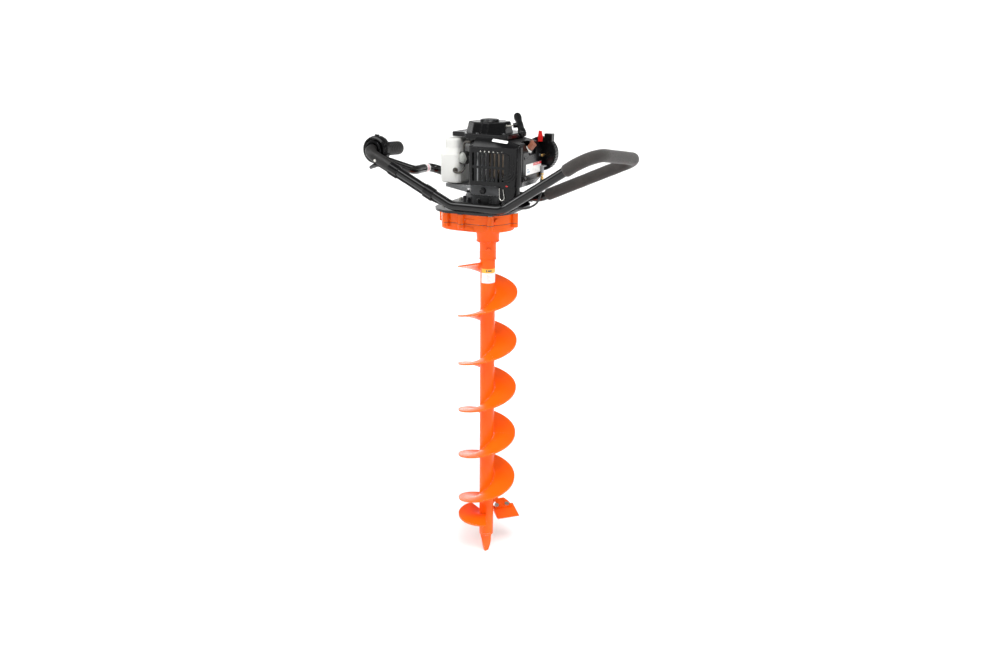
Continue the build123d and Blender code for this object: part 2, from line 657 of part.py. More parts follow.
def clutch_shoes():
    """Two friction shoes on the crankshaft's lower end, with their hub."""
    hub = post(12, 981, 1000.4)
    solids = [hub]
    for turn in (0, 180):
        shoe = ring(36.3, 22, 982, 997) - block(-60, 60, -60, 3, 980, 1000)
        shoe += block(-6, 6, 13, 23, 982, 997)
        solids.append(Rot(0, 0, turn) * shoe)
    return solids


def piston():
    """Piston and its gudgeon pin."""
    x = CRANK_THROW + ROD_LENGTH
    body = rod((x - 12, 0, CRANK_Z), (x + 14, 0, CRANK_Z), BORE_R - FIT)
    body -= rod((x - 13, 0, CRANK_Z), (x + 9, 0, CRANK_Z), BORE_R - 3)
    for side in (-1, 1):
        low, high = sorted((CRANK_Z + 10 * side, CRANK_Z + 18 * side))
        body += block(x - 7, x + 10, -7, 7, low, high)
    body &= rod((x - 12, 0, CRANK_Z), (x + 14, 0, CRANK_Z), BORE_R - FIT)
    body -= post(4.02, CRANK_Z - 30, CRANK_Z + 30, x)
    for start in (x + 5, x + 9):
        groove = rod((start, 0, CRANK_Z), (start + 1.5, 0, CRANK_Z), BORE_R + 2)
        groove -= rod((start, 0, CRANK_Z), (start + 1.5, 0, CRANK_Z), BORE_R - 1.5)
        body -= groove
    return [body, post(4.0, CRANK_Z - 17, CRANK_Z + 17, x)]


def connecting_rod():
    x = CRANK_THROW + ROD_LENGTH
    link = post(12, CRANK_Z - 9, CRANK_Z + 9, CRANK_THROW) + post(7.5, CRANK_Z - 7, CRANK_Z + 7, x)
    link += block(CRANK_THROW + 4, x - 4, -5, 5, CRANK_Z - 4, CRANK_Z + 4)
    return link - post(7.05, 1000, 1200, CRANK_THROW) - post(4.05, 1000, 1200, x)


PLUG_FOOT, PLUG_DIRECTION = (100.0, -8.0, 1104.0), (0.633, 0.0, 0.774)


def along_plug(distance):
    return tuple(a + b * distance for a, b in zip(PLUG_FOOT, PLUG_DIRECTION))


FIN_STEP = 7.0
CYLINDER_FOOT, HEAD_X = 40.3, 113.0


def cylinder():
    """Finned aluminium barrel and head, lying along +X, with its two ports."""
    barrel = rod((CYLINDER_FOOT, 0, CRANK_Z), (HEAD_X - 6, 0, CRANK_Z), BORE_R + 6)
    barrel += block(CYLINDER_FOOT, CYLINDER_FOOT + 5, -34, 34, CRANK_Z - 34, CRANK_Z + 34)
    barrel += rod((34.5, 0, CRANK_Z), (CYLINDER_FOOT, 0, CRANK_Z), BORE_R + 2.4)
    for k in range(9):
        x = CYLINDER_FOOT + 10 + FIN_STEP * k
        fin = block(x, x + 2.2, -36, 36, CRANK_Z - 36, CRANK_Z + 36)
        barrel += fin
    barrel += block(70, 96, -38, 38, CRANK_Z - 14, CRANK_Z + 14)
    barrel -= rod((15, 0, CRANK_Z), (98, 0, CRANK_Z), BORE_R)
    barrel -= block(74, 92, -39, -15, CRANK_Z - 8, CRANK_Z + 8)
    barrel -= block(76, 90, 15, 39, CRANK_Z - 7, CRANK_Z + 7)
    barrel -= rod(along_plug(0), along_plug(40), 12)
    barrel += rod(along_plug(-6), along_plug(14.2), 10)
    barrel -= rod((15, 0, CRANK_Z), (98, 0, CRANK_Z), BORE_R)
    return barrel - rod(along_plug(-1), along_plug(20), 5.1)


def spark_plug():
    """Threaded end, hexagon stand-in collar and insulator along the plug's axis."""
    thread = rod(along_plug(0), along_plug(14.3), 5.0)
    collar = rod(along_plug(14.3), along_plug(19), 8.5)
    return thread + collar + rod(along_plug(19), along_plug(30), 4.0)


def plug_cap():
    boot = rod(along_plug(20.5), along_plug(36), 8.0)
    boot += rod(along_plug(31), (109, 12, 1133), 5.0)
    return boot - rod(along_plug(15), along_plug(31), 4.1)


def flywheel():
    wheel = post(50, 1130, 1135) + post(16, 1128.3, 1146)
    for k in range(16):
        wheel += Rot(0, 0, 22.5 * k) * block(24, 50, -1.2, 1.2, 1134, 1146)
    return wheel - post(8.02, 1120, 1150)


def ignition_coil():
    coil = block(-16, 16, 59, 70, 1127, 1140.5, 3)
    for x in (-11, 11):
        coil += block(x - 3, x + 3, 52, 60, 1132, 1138)
    return coil


SHROUD_RIGHT = 118.0
SHROUD_FRONT, SHROUD_BACK = -58.0, 52.0


def engine_shroud():
    """Cover over the cylinder: its top falls away towards the plug end."""
    def side(grow):
        return Polyline((44, 1040 - grow), (104, 1032 - grow), (SHROUD_RIGHT - 3 + grow, 1046),
                        (SHROUD_RIGHT - 3 + grow, 1112), (SHROUD_RIGHT - 14 + grow, 1129 + grow),
                        (68, 1137.5 + grow), (44, 1137.5 + grow), close=True)
    outer = extrude(Plane.XZ * make_face(side(3)), amount=-SHROUD_BACK + SHROUD_FRONT)
    outer = Pos(0, SHROUD_FRONT, 0) * outer
    inner = extrude(Plane.XZ * make_face(side(0)), amount=-SHROUD_BACK + SHROUD_FRONT + 6)
    inner = Pos(0, SHROUD_FRONT + 3, 0) * inner
    shell = outer - inner - block(30, 47.5, SHROUD_FRONT + 3, SHROUD_BACK - 3, 1030, 1138)
    shell -= block(94, 120, -26, 18, 1105, 1142)
    shell -= block(40, 103, SHROUD_FRONT - 2, SHROUD_FRONT + 5, 1049, 1117)
    shell -= block(66, 100, SHROUD_BACK - 5, SHROUD_BACK + 2, 1066, 1104)
    return shell - post(64.5, 1120, 1160)


GUARD_LEFT, GUARD_RIGHT = -10.0, 118.0
GUARD_FRONT, GUARD_BACK = -92.0, -62.5
GUARD_BOTTOM, GUARD_TOP = 1036.0, 1126.0


def muffler():
    box = block(28, 100, -60, -40.5, 1052, 1114, 8)
    box += block(76, 90, -41, -38.3, CRANK_Z - 7, CRANK_Z + 7)
    return box + rod((60, -58, 1064), (60, -70, 1058), 6)


def muffler_guard():
    """Louvred heat guard with a round right-hand corner and a low outlet duct."""
    outer = block(GUARD_LEFT, GUARD_RIGHT, GUARD_FRONT, GUARD_BACK, GUARD_BOTTOM, GUARD_TOP)
    outer = fillet(outer.edges().filter_by(Axis.Z).group_by(Axis.Y)[0].sort_by(Axis.X)[-1], 24)
    outer = fillet(outer.edges().filter_by(Axis.Z).group_by(Axis.Y)[0].sort_by(Axis.X)[0], 10)
    hollow = block(GUARD_LEFT + 3, GUARD_RIGHT - 3, GUARD_FRONT + 3, GUARD_BACK + 5,
                   GUARD_BOTTOM + 3, GUARD_TOP - 3)
    hollow = fillet(hollow.edges().filter_by(Axis.Z).group_by(Axis.Y)[0].sort_by(Axis.X)[-1], 21)
    duct = block(66, GUARD_RIGHT - 2, -86, -60.5, 1000, GUARD_BOTTOM + 4, 12)
    duct -= block(69, GUARD_RIGHT - 5, -83, -63.5, 996, GUARD_BOTTOM, 9)
    panel = block(GUARD_LEFT + 4, 70, -84, -78, 1010, GUARD_BOTTOM)
    shell = outer + panel + duct - hollow
    for k in range(8):
        x = GUARD_LEFT + 12 + 11 * k
        shell -= block(x, x + 5, GUARD_FRONT - 2, GUARD_FRONT + 5, 1082, 1112)
        shell -= block(x, x + 5, GUARD_FRONT - 2, GUARD_FRONT + 5, 1046, 1076)
    knob = rod((28, -84, 1023), (28, -91, 1023), 7)
    return shell + knob


COWL_CENTRE_X = 3.0
COWL_PLAN = [(-84, -35), (-84, 66), (-70, 76), (60, 76), (74, 62), (74, -52), (56, -68),
             (-30, -68), (-48, -35)]
COWL_LOW_Z, COWL_HIGH_Z = 1141.0, 1152.0
BOX_RADIUS, BOX_HEIGHT, BOX_TAPER = 57.0, 26.5, 13.0


def starter_housing():
    """Fan cowl with a slotted wing over the tank and the recoil starter box on top."""
    outline = make_face(Polyline(*COWL_PLAN, close=True))
    slab = Pos(0, 0, COWL_LOW_Z) * extrude(outline, amount=COWL_HIGH_Z - COWL_LOW_Z)
    slab = fillet(slab.edges().filter_by(Axis.Z), 9)
    slab = fillet(slab.edges().filter_by(lambda e: e.center().Z > COWL_HIGH_Z - 0.1), 2.5)
    box = extrude(Rot(0, 0, 22.5) * RegularPolygon(BOX_RADIUS, 8), amount=BOX_HEIGHT,
                  taper=BOX_TAPER)
    box = Pos(COWL_CENTRE_X, 0, COWL_HIGH_Z - 0.5) * box
    box = fillet(box.edges().filter_by(lambda e: e.center().Z > COWL_HIGH_Z + 1), 4)
    cowl = slab + post(57, 1127, 1142) + box
    cowl += Pos(COWL_CENTRE_X, 0, 1178) * extrude(Circle(24), amount=3.5, taper=35)
    cowl -= post(53, 1120, 1148.5)
    cowl -= block(-18, 18, 45, 60, 1126, 1141)
    cowl -= post(37, 1148, 1174, COWL_CENTRE_X)
    cowl += post(5, 1153, 1176, COWL_CENTRE_X)
    for k in range(5):
        slot_y = -24 + 18 * k
        cowl -= block(-80, -60, slot_y, slot_y + 7, COWL_LOW_Z - 1, COWL_HIGH_Z + 1)
    return cowl - rod(along_rope(15), along_rope(60), 3.0)


REEL_R, ROPE_RADIUS_ON_REEL = 32.0, 28.0
ROPE_R = 2.0
PULL = Vector(0.85, 0.517, 0.113).normalized()
BAR = Vector(0.506, -0.738, -0.443).normalized()
ROPE_FOOT = (COWL_CENTRE_X + 14.5, -23.9, 1163.5)
HANDLE_AT = 70.0


def along_rope(distance):
    return tuple(a + b * distance for a, b in zip(ROPE_FOOT, PULL))


def starter_reel():
    """Rope pulley on the housing's post, its groove filled by the wound rope."""
    reel = post(REEL_R, 1157, 1170, COWL_CENTRE_X)
    reel -= ring(REEL_R + 1, 27, 1160, 1167, COWL_CENTRE_X)
    for k in range(3):
        angle = radians(120 * k)
        reel -= post(5, 1156, 1171, COWL_CENTRE_X + 18 * cos(angle), 18 * sin(angle))
    return reel - post(5.05, 1150, 1180, COWL_CENTRE_X)


def starter_rope():
    return rod(along_rope(20), along_rope(HANDLE_AT - 8.2), ROPE_R)


def starter_handle():
    """T-shaped pull grip, its bar thicker at both ends."""
    centre = Vector(*along_rope(HANDLE_AT))
    frame = Plane(origin=tuple(centre), x_dir=tuple(PULL), z_dir=tuple(BAR))
    profile = make_face(Spline((0.01, -45), (7, -44), (9.5, -36), (8, -14), (8.5, 0), (8, 14),
                               (9.5, 36), (7, 44), (0.01, 45)) + Line((0.01, 45), (0.01, -45)))
    grip = frame * revolve(Plane.XZ * profile, axis=Axis.Z)
    neck = rod(along_rope(HANDLE_AT - 16), along_rope(HANDLE_AT), 6.0)
    return grip + neck - rod(along_rope(HANDLE_AT - 20), along_rope(HANDLE_AT - 8), ROPE_R + 0.02)


# ---- carburettor and filter ---------------------------------------------------------
FILTER_X, FILTER_Z = 105.0, 1098.0
FILTER_R = 41.0
CARB_X = 83.0


THROTTLE_SHAFT_Y, THROTTLE_SHAFT_Z = 60.0, 1098.0
THROTTLE_ARM_X = (119.6, 122.6)


def carburettor():
    """Body with its inlet stub, throttle shaft boss and the cable's stop and adjuster."""
    body = block(CARB_X - 16, CARB_X + 16, 52.5, 70, CRANK_Z - 16, CRANK_Z + 16, 5)
    body += rod((CARB_X, 38.3, CRANK_Z), (CARB_X, 54, CRANK_Z), 10)
    body -= rod((CARB_X, 30, CRANK_Z), (CARB_X, 75, CRANK_Z), 7)
    stop_x, stop_y, stop_z = CABLE_END
    low, high = stop_z + 0.3, stop_z + 4
    body += block(CARB_X + 15, stop_x + 5, 54, 62, low, high)
    body += block(stop_x - 4, stop_x + 5, stop_y - 5, 55, low, high)
    body += ring(4, CABLE_R + 0.3, stop_z - 20, low, stop_x, stop_y)
    shaft_y, shaft_z = THROTTLE_SHAFT_Y, THROTTLE_SHAFT_Z
    body += rod((CARB_X + 15, shaft_y, shaft_z), (CARB_X + 19, shaft_y, shaft_z), 4)
    return body - rod((CARB_X + 12, shaft_y, shaft_z), (CARB_X + 30, shaft_y, shaft_z), 1.5 + FIT)


def throttle_lever():
    """Arm on the end of the carburettor's throttle shaft, over the cable's stop."""
    shaft_y, shaft_z = THROTTLE_SHAFT_Y, THROTTLE_SHAFT_Z
    near, far = THROTTLE_ARM_X
    shaft = rod((CARB_X + 13, shaft_y, shaft_z), (far, shaft_y, shaft_z), 1.5)
    arm = block(near, far, CABLE_END[1] - 3, shaft_y + 3, shaft_z - 3, shaft_z + 3)
    arm = fillet(arm.edges().filter_by(Axis.X), 2.5)
    nipple = rod((near - 0.3, CABLE_END[1], shaft_z), (far + 1, CABLE_END[1], shaft_z), 1.8)
    return shaft + arm + nipple


def filter_frame():
    return Plane(origin=(FILTER_X, 70.3, FILTER_Z), x_dir=(1, 0, 0), z_dir=(0, 1, 0))


def air_filter_base():
    disc = Cylinder(FILTER_R - 2, 4, align=(Align.CENTER, Align.CENTER, Align.MIN))
    disc -= post(8, -1, 5, CARB_X - FILTER_X, FILTER_Z - CRANK_Z)
    snorkel = block(12, 32, -50, -32, 0, 16)
    return filter_frame() * (disc + snorkel)


def air_filter_element():
    return filter_frame() * ring(FILTER_R - 8, 14, 4.1, 20)


def air_filter_cover():
    cup = post(FILTER_R, 4.2, 32)
    cup = fillet(cup.edges().sort_by(Axis.Z)[-1], 8)
    cup -= post(FILTER_R - 3, 3, 28)
    for k in range(36):
        cup += Rot(0, 0, 10 * k) * block(FILTER_R - 0.5, FILTER_R + 1.2, -1, 1, 5, 22)
    cup += ring(12, 8, 31, 34)
    cup -= Pos(22, -41, 4) * Box(21, 19, 25)
    return filter_frame() * cup


CHOKE_PIVOT = (108.5, 66.0, 1133.0)


def choke_lever():
    """Red lever that stands up beside the filter."""
    x, y, z = CHOKE_PIVOT
    outline = Polyline((-5, -4), (5, -4), (6, 6), (3, 21), (-4, 22), (-6, 6), close=True)
    lever = Pos(x, y, z) * extrude(Plane.XZ * make_face(outline), amount=2, both=True)
    return lever + rod((x, y - 2, z), (x, y + 3.9, z), 3)


# ---- fuel ---------------------------------------------------------------------------
def fuel_tank():
    lower = block(-107, -52, -56, 62, 1030, 1098, 14)
    upper = block(-97, -59, -50, 56, 1096, 1137, 12)
    foot = Plane.XY.offset(1094) * Pos(-79.5, 3) * RectangleRounded(55, 118, 14)
    neck = Plane.XY.offset(1114) * Pos(-78, 3) * RectangleRounded(38, 106, 12)
    shoulder = loft([foot.face(), neck.face()])
    tank = lower + shoulder + upper
    tank = fillet(tank.edges().filter_by(lambda e: e.center().Z < 1031), 5)
    tank = fillet(tank.edges().filter_by(lambda e: e.center().Z > 1136.5), 5)
    tank += rod((-76, 55, 1112), (-76, 66, 1112), 15)
    inner = block(-104.5, -54.5, -53.5, 59.5, 1032.5, 1095.5, 11.5)
    inner += block(-94.5, -61.5, -47.5, 53.5, 1094, 1134.5, 9.5)
    inner += rod((-76, 50, 1112), (-76, 68, 1112), 12)
    tank -= inner
    return tank - rod((-61, -60, 1062), (-61, -50, 1062), 4.1)


def fuel_cap():
    cap = Plane(origin=(-76, 62.4, 1112), x_dir=(1, 0, 0), z_dir=(0, 1, 0))
    shell = post(19, 0, 17) - post(15.3, -1, 13)
    for k in range(12):
        shell -= post(2, -1, 12, 20 * cos(radians(30 * k)), 20 * sin(radians(30 * k)))
    return cap * shell


PRIMER = (-38.0, -62.0, 1092.0)
PRIMER_TRAVEL = 5.0


def primer_base():
    x, y, z = PRIMER
    base = block(x - 9, x + 9, y, y + 16, z - 14, z + 16)
    base = fillet(base.edges().filter_by(Axis.Y), 4)
    base += block(x + 8, GUARD_LEFT - 0.3, y + 4, y + 9, z - 4, z + 6)
    base -= rod((x, y - 1, z), (x, y + 8 + PRIMER_TRAVEL, z), 9.3)
    base += rod((x, y + 6, z - 14), (x, y + 6, z - 22), 2.2)
    return base + rod((x, y + 6, z + 16), (x, y + 6, z + 24), 2.2)


def primer_bulb():
    x, y, z = PRIMER
    frame = Plane(origin=(x, y + 7.5, z), x_dir=(1, 0, 0), z_dir=(0, -1, 0))
    dome = post(9, 0, 12)
    return frame * fillet(dome.edges().sort_by(Axis.Z)[-1], 7.5)


FUEL_ROUTE_LOW = [
    (-61.0, -56.0, 1062.0),
    (-61.0, -69.0, 1062.0),
    (-50.0, -72.0, 1058.0),
    (-39.0, -64.0, 1060.0),
    (-38.0, -56.0, 1070.0),
]
FUEL_ROUTE_HIGH = [
    (-38.0, -56.0, 1116.0),
    (-38.0, -56.0, 1127.0),
    (-30.0, -62.0, 1132.5),
    (-16.0, -66.0, 1132.5),
]


def fuel_lines():
    """Grommet and hoses: tank to primer, and primer back to the carburettor side."""
    low = bent_bar(FUEL_ROUTE_LOW, route_radii(FUEL_ROUTE_LOW), 2.6)
    high = bent_bar(FUEL_ROUTE_HIGH, route_radii(FUEL_ROUTE_HIGH), 2.6)
    x, y, z = PRIMER
    spigots = rod((x, y + 6, z - 30), (x, y + 6, z + 30), 2.25)
    grommet = rod((-61, -59, 1062), (-61, -50, 1062), 4.0)
    grommet += rod((-61, -59, 1062), (-61, -56.1, 1062), 6.5)
    return [low - spigots - grommet, high - spigots, grommet]


# ---- write every sub-part -----------------------------------------------------------
PARTS = {
    "bit_tube": bit_tube,
    "bit_socket": bit_socket,
    "socket_bolt": socket_bolt,
    "flight_lower": lambda: flight_section(0),
    "flight_middle": lambda: flight_section(1),
    "flight_upper": lambda: flight_section(2),
    "cutting_head": lambda: [lower_half_flight(), blade_carrier()],
    "cutting_blade": cutting_blade,
    "blade_bolts": blade_bolts,
    "pilot_point": pilot_point,
    "output_shaft": output_shaft,
    "output_gear": output_gear,
    "idler_shaft": idler_shaft,
    "idler_gear": idler_gear,
    "clutch_drum": clutch_drum,
    "gear_case_lower": gear_case_lower,
    "gear_case_upper": gear_case_upper,
    "case_gasket": case_gasket,
    "case_bolts": case_bolts,
    "bearings": bearings,
    "mounting_plate": mounting_plate,
    "mount_bolts": mount_bolts,
    "front_handle_tube": front_handle_tube,
    "rear_handle_tube": rear_handle_tube,
    "foam_pad": foam_pad,
    "throttle_housing": throttle_housing,
    "throttle_grip": throttle_grip,
    "throttle_trigger": throttle_trigger,
    "stop_switch": stop_switch,
    "throttle_cable": throttle_cable,
    "cable_clamps": cable_clamps,
    "clutch_housing": clutch_housing,
    "crankcase": crankcase,
    "crankshaft": crankshaft,
    "clutch_shoes": clutch_shoes,
    "piston": piston,
    "connecting_rod": connecting_rod,
    "cylinder": cylinder,
    "spark_plug": spark_plug,
    "plug_cap": plug_cap,
    "flywheel": flywheel,
    "ignition_coil": ignition_coil,
    "muffler": muffler,
    "muffler_guard": muffler_guard,
    "engine_shroud": engine_shroud,
    "starter_housing": starter_housing,
    "starter_reel": starter_reel,
    "starter_rope": starter_rope,
    "starter_handle": starter_handle,
    "carburettor": carburettor,
    "throttle_lever": throttle_lever,
    "choke_lever": choke_lever,
    "air_filter_base": air_filter_base,
    "air_filter_cover": air_filter_cover,
    "air_filter_element": air_filter_element,
    "fuel_tank": fuel_tank,
    "fuel_cap": fuel_cap,
    "primer_base": primer_base,
    "primer_bulb": primer_bulb,
    "fuel_lines": fuel_lines,
}

os.makedirs("parts", exist_ok=True)
for name, make in PARTS.items():
    solids = make()
    shape = Compound(children=solids) if isinstance(solids, list) else solids
    export_step(shape, f"parts/{name}.step")
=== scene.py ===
import bmesh
import bpy
import json
import math
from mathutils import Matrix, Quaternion, Vector


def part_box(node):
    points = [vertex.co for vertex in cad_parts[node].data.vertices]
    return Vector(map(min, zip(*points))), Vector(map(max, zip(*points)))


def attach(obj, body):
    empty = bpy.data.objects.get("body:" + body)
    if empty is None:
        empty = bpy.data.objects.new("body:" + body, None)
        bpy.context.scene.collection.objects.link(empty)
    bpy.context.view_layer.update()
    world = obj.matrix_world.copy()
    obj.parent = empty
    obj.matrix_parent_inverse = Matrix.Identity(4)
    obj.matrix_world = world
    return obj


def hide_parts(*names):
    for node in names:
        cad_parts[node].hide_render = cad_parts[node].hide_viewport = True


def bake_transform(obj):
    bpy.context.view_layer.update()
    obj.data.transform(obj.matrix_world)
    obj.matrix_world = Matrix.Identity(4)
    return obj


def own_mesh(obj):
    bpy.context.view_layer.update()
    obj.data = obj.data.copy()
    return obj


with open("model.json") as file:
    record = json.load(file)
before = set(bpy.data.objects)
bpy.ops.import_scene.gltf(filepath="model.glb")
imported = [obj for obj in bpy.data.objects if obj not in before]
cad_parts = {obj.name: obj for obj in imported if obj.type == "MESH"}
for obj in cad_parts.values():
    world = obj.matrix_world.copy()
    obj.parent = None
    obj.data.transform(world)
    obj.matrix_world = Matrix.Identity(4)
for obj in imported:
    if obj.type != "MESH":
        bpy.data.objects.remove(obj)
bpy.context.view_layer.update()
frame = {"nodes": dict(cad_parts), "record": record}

# Metres, the frame of the CAD model: the tip of the bit is the origin, +Z up the drive
# axis, +X towards the padded loop, -Y towards the exhaust guard.
AXIS_X, AXIS_Y, AXIS_Z = Vector((1, 0, 0)), Vector((0, 1, 0)), Vector((0, 0, 1))


def mm(*values):
    """A point given in millimetres."""
    return Vector(values) / 1000


def low(node):
    """The lowest corner of a CAD node's box."""
    return Vector(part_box(node)[0])


def high(node):
    """The highest corner of a CAD node's box."""
    return Vector(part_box(node)[1])


def middle(node):
    """The middle of a CAD node's box."""
    return (low(node) + high(node)) / 2


# ---- camera, floor and light --------------------------------------------------------
CAMERA_PLACE = Vector((0.9182, -1.8938, 1.3419))
CAMERA_HEADING = Vector((-0.4226, 0.9063, 0))
CAMERA_PITCH = math.radians(16.44)
CAMERA_ROLL = 0.0103
CAMERA_LENS = 30.83
CAMERA_SHIFT_Y = -0.0307


def make_camera():
    """A camera that stands in front and to the right of the engine, looking down a little."""
    data = bpy.data.cameras.new("camera")
    data.lens = CAMERA_LENS
    data.shift_y = CAMERA_SHIFT_Y
    data.clip_start = 0.05
    camera = bpy.data.objects.new("camera", data)
    bpy.context.collection.objects.link(camera)
    level = CAMERA_HEADING.normalized()
    forward = level * math.cos(CAMERA_PITCH) - AXIS_Z * math.sin(CAMERA_PITCH)
    turn = forward.to_track_quat("-Z", "Y") @ Quaternion(AXIS_Z, CAMERA_ROLL)
    camera.rotation_mode = "QUATERNION"
    camera.rotation_quaternion = turn
    camera.location = CAMERA_PLACE
    bpy.context.scene.camera = camera


FLOOR_HALF = 80.0
SKY_DARK = 0.24
BAND_LIGHT = 5.0            # long soft light above and in front, seen as the line along each tube


def make_stage():
    """A pale floor, a sky that is bright low down, and three soft lights."""
    mesh = bpy.data.meshes.new("floor")
    half = FLOOR_HALF
    corners = [(-half, -half, -0.002), (half, -half, -0.002), (half, half, -0.002), (-half, half, -0.002)]
    mesh.from_pydata(corners, [], [(0, 1, 2, 3)])
    floor = bpy.data.objects.new("floor", mesh)
    bpy.context.collection.objects.link(floor)
    floor.data.materials.append(finish("floor", (0.95, 0.95, 0.95), 0.9, vary=0.01, vary_scale=3, edge=0))
    world = bpy.data.worlds.new("studio")
    world.use_nodes = True
    nodes, links = world.node_tree.nodes, world.node_tree.links
    nodes["Background"].inputs["Color"].default_value = (1, 1, 1, 1)
    split = nodes.new("ShaderNodeSeparateXYZ")
    links.new(nodes.new("ShaderNodeTexCoord").outputs["Generated"], split.inputs[0])

    def fade(axis, start, end, first, last):
        node = nodes.new("ShaderNodeMapRange")
        links.new(split.outputs[axis], node.inputs["Value"])
        for socket, value in (("From Min", start), ("From Max", end), ("To Min", first), ("To Max", last)):
            node.inputs[socket].default_value = value
        return node.outputs["Result"]

    def join(operation, a, b):
        node = nodes.new("ShaderNodeMath")
        node.operation = operation
        links.new(a, node.inputs[0])
        links.new(b, node.inputs[1])
        return node.outputs[0]

    sky = fade("Z", 0.12, 0.32, 1.05, SKY_DARK)
    band = join("MULTIPLY", fade("Z", 0.66, 0.72, 0.0, BAND_LIGHT), fade("Z", 0.86, 0.92, 1.0, 0.0))
    band = join("MULTIPLY", band, fade("Y", -0.25, 0.1, 1.0, 0.0))
    links.new(join("ADD", sky, band), nodes["Background"].inputs["Strength"])
    bpy.context.scene.world = world
    bpy.context.scene.view_settings.view_transform = "Standard"
    soft_light("key", (0.30, -0.42, 0.87), 22, 1.25)
    soft_light("fill", (-0.85, -0.35, 0.40), 24, 0.85)
    soft_light("rim", (0.75, 0.35, 0.60), 16, 0.5)


def soft_light(name, towards, angle, strength):
    """A far, wide studio light that shines from the given direction."""
    data = bpy.data.lights.new(name, "SUN")
    data.angle = math.radians(angle)
    data.energy = strength
    light = bpy.data.objects.new(name, data)
    light.location = Vector(towards) * 4
    light.rotation_euler = (-Vector(towards)).to_track_quat("-Z", "Y").to_euler()
    bpy.context.collection.objects.link(light)


# ---- materials ----------------------------------------------------------------------
class Tree:
    """A material's nodes, with one short call to add and link each."""

    def __init__(self, name):
        self.material = bpy.data.materials.new(name)
        self.material.use_nodes = True
        self.nodes = self.material.node_tree.nodes
        self.links = self.material.node_tree.links
        self.shader = self.nodes["Principled BSDF"]
        self.coords = self.add("ShaderNodeTexCoord").outputs["Object"]

    def add(self, kind, inputs=None, **settings):
        node = self.nodes.new(kind)
        for key, value in settings.items():
            setattr(node, key, value)
        for key, value in (inputs or {}).items():
            self.put(value, node.inputs[key])
        return node

    def put(self, value, socket):
        if isinstance(value, bpy.types.NodeSocket):
            self.links.new(value, socket)
        else:
            socket.default_value = value

    def noise(self, scale, detail=4.0, stretch=(1, 1, 1)):
        mapping = self.add("ShaderNodeMapping", {"Vector": self.coords, "Scale": stretch})
        node = self.add("ShaderNodeTexNoise", {"Vector": mapping.outputs[0], "Scale": scale, "Detail": detail})
        return node.outputs["Fac"]

    def span(self, value, low_in, high_in, low_out, high_out):
        """value mapped from one range to another, held at both ends."""
        node = self.add("ShaderNodeMapRange", {"Value": value, "From Min": low_in, "From Max": high_in,
                                               "To Min": low_out, "To Max": high_out})
        return node.outputs["Result"]

    def blend(self, factor, a, b):
        node = self.add("ShaderNodeMix", data_type="RGBA")
        self.put(factor, node.inputs[0])
        self.put(a, node.inputs[6])
        self.put(b, node.inputs[7])
        return node.outputs[2]

    def maths(self, operation, a, b=0.0):
        node = self.add("ShaderNodeMath", operation=operation)
        self.put(a, node.inputs[0])
        self.put(b, node.inputs[1])
        return node.outputs[0]


def shade(colour, factor):
    return (*[min(1.0, c * factor) for c in colour[:3]], 1.0)


def finish(name, colour, roughness, metallic=0.0, vary=0.05, vary_scale=35.0, grain=None,
           edge=0.0006, wear=None, coat=0.0, sheen=0.0, stretch=(1, 1, 1), shine=0.5):
    """A surface with slow colour change, a fine grain, rounded edges and, if asked, worn ones.

    grain is (scale, depth in metres); wear is (colour, amount, roughness, metallic)."""
    tree = Tree(name)
    patches = tree.noise(vary_scale, 5.0, stretch)
    base = tree.blend(tree.span(patches, 0.3, 0.7, 0.0, 1.0), shade(colour, 1 - vary), shade(colour, 1 + vary))
    rough = tree.span(patches, 0.3, 0.7, roughness * 0.88, min(1.0, roughness * 1.12))
    normal = None
    if edge:
        bevel = tree.add("ShaderNodeBevel", {"Radius": edge}, samples=4)
        normal = bevel.outputs[0]
    if wear:
        worn_colour, amount, worn_roughness, worn_metal = wear
        wide = tree.add("ShaderNodeBevel", {"Radius": 0.0016}, samples=4)
        facing = tree.add("ShaderNodeVectorMath", operation="DOT_PRODUCT")
        tree.put(wide.outputs[0], facing.inputs[0])
        tree.put(tree.add("ShaderNodeNewGeometry").outputs["Normal"], facing.inputs[1])
        edges = tree.span(facing.outputs["Value"], 0.99, 0.9, 0.0, 1.0)
        chips = tree.span(tree.noise(260.0, 3.0), 0.62 - amount * 0.3, 0.7 - amount * 0.3, 0.0, 1.0)
        mask = tree.maths("MULTIPLY", edges, chips)
        base = tree.blend(mask, base, shade(worn_colour, 1.0))
        rough = tree.maths("ADD", tree.maths("MULTIPLY", mask, worn_roughness - roughness), rough)
        metal = tree.maths("ADD", tree.maths("MULTIPLY", mask, worn_metal - metallic), metallic)
        tree.put(metal, tree.shader.inputs["Metallic"])
    else:
        tree.shader.inputs["Metallic"].default_value = metallic
    if grain:
        scale, depth = grain
        bump = tree.add("ShaderNodeBump", {"Height": tree.noise(scale, 3.0, stretch), "Distance": depth,
                                           "Strength": 1.0})
        if normal is not None:
            tree.put(normal, bump.inputs["Normal"])
        normal = bump.outputs[0]
    tree.put(base, tree.shader.inputs["Base Color"])
    tree.put(rough, tree.shader.inputs["Roughness"])
    if normal is not None:
        tree.put(normal, tree.shader.inputs["Normal"])
    tree.shader.inputs["Specular IOR Level"].default_value = shine
    tree.shader.inputs["Coat Weight"].default_value = coat
    tree.shader.inputs["Coat Roughness"].default_value = 0.12
    tree.shader.inputs["Sheen Weight"].default_value = sheen
    return tree.material


ORANGE = (0.93, 0.12, 0.004)
STEEL = (0.42, 0.42, 0.43)


def orange_paint():
    """Gloss enamel with faint orange peel, chipped to grey steel on some edges."""
    return finish("orange_paint", ORANGE, 0.2, vary=0.07, vary_scale=9, grain=(900, 0.00005),
                  wear=(STEEL, 0.15, 0.35, 0.9), shine=0.22)


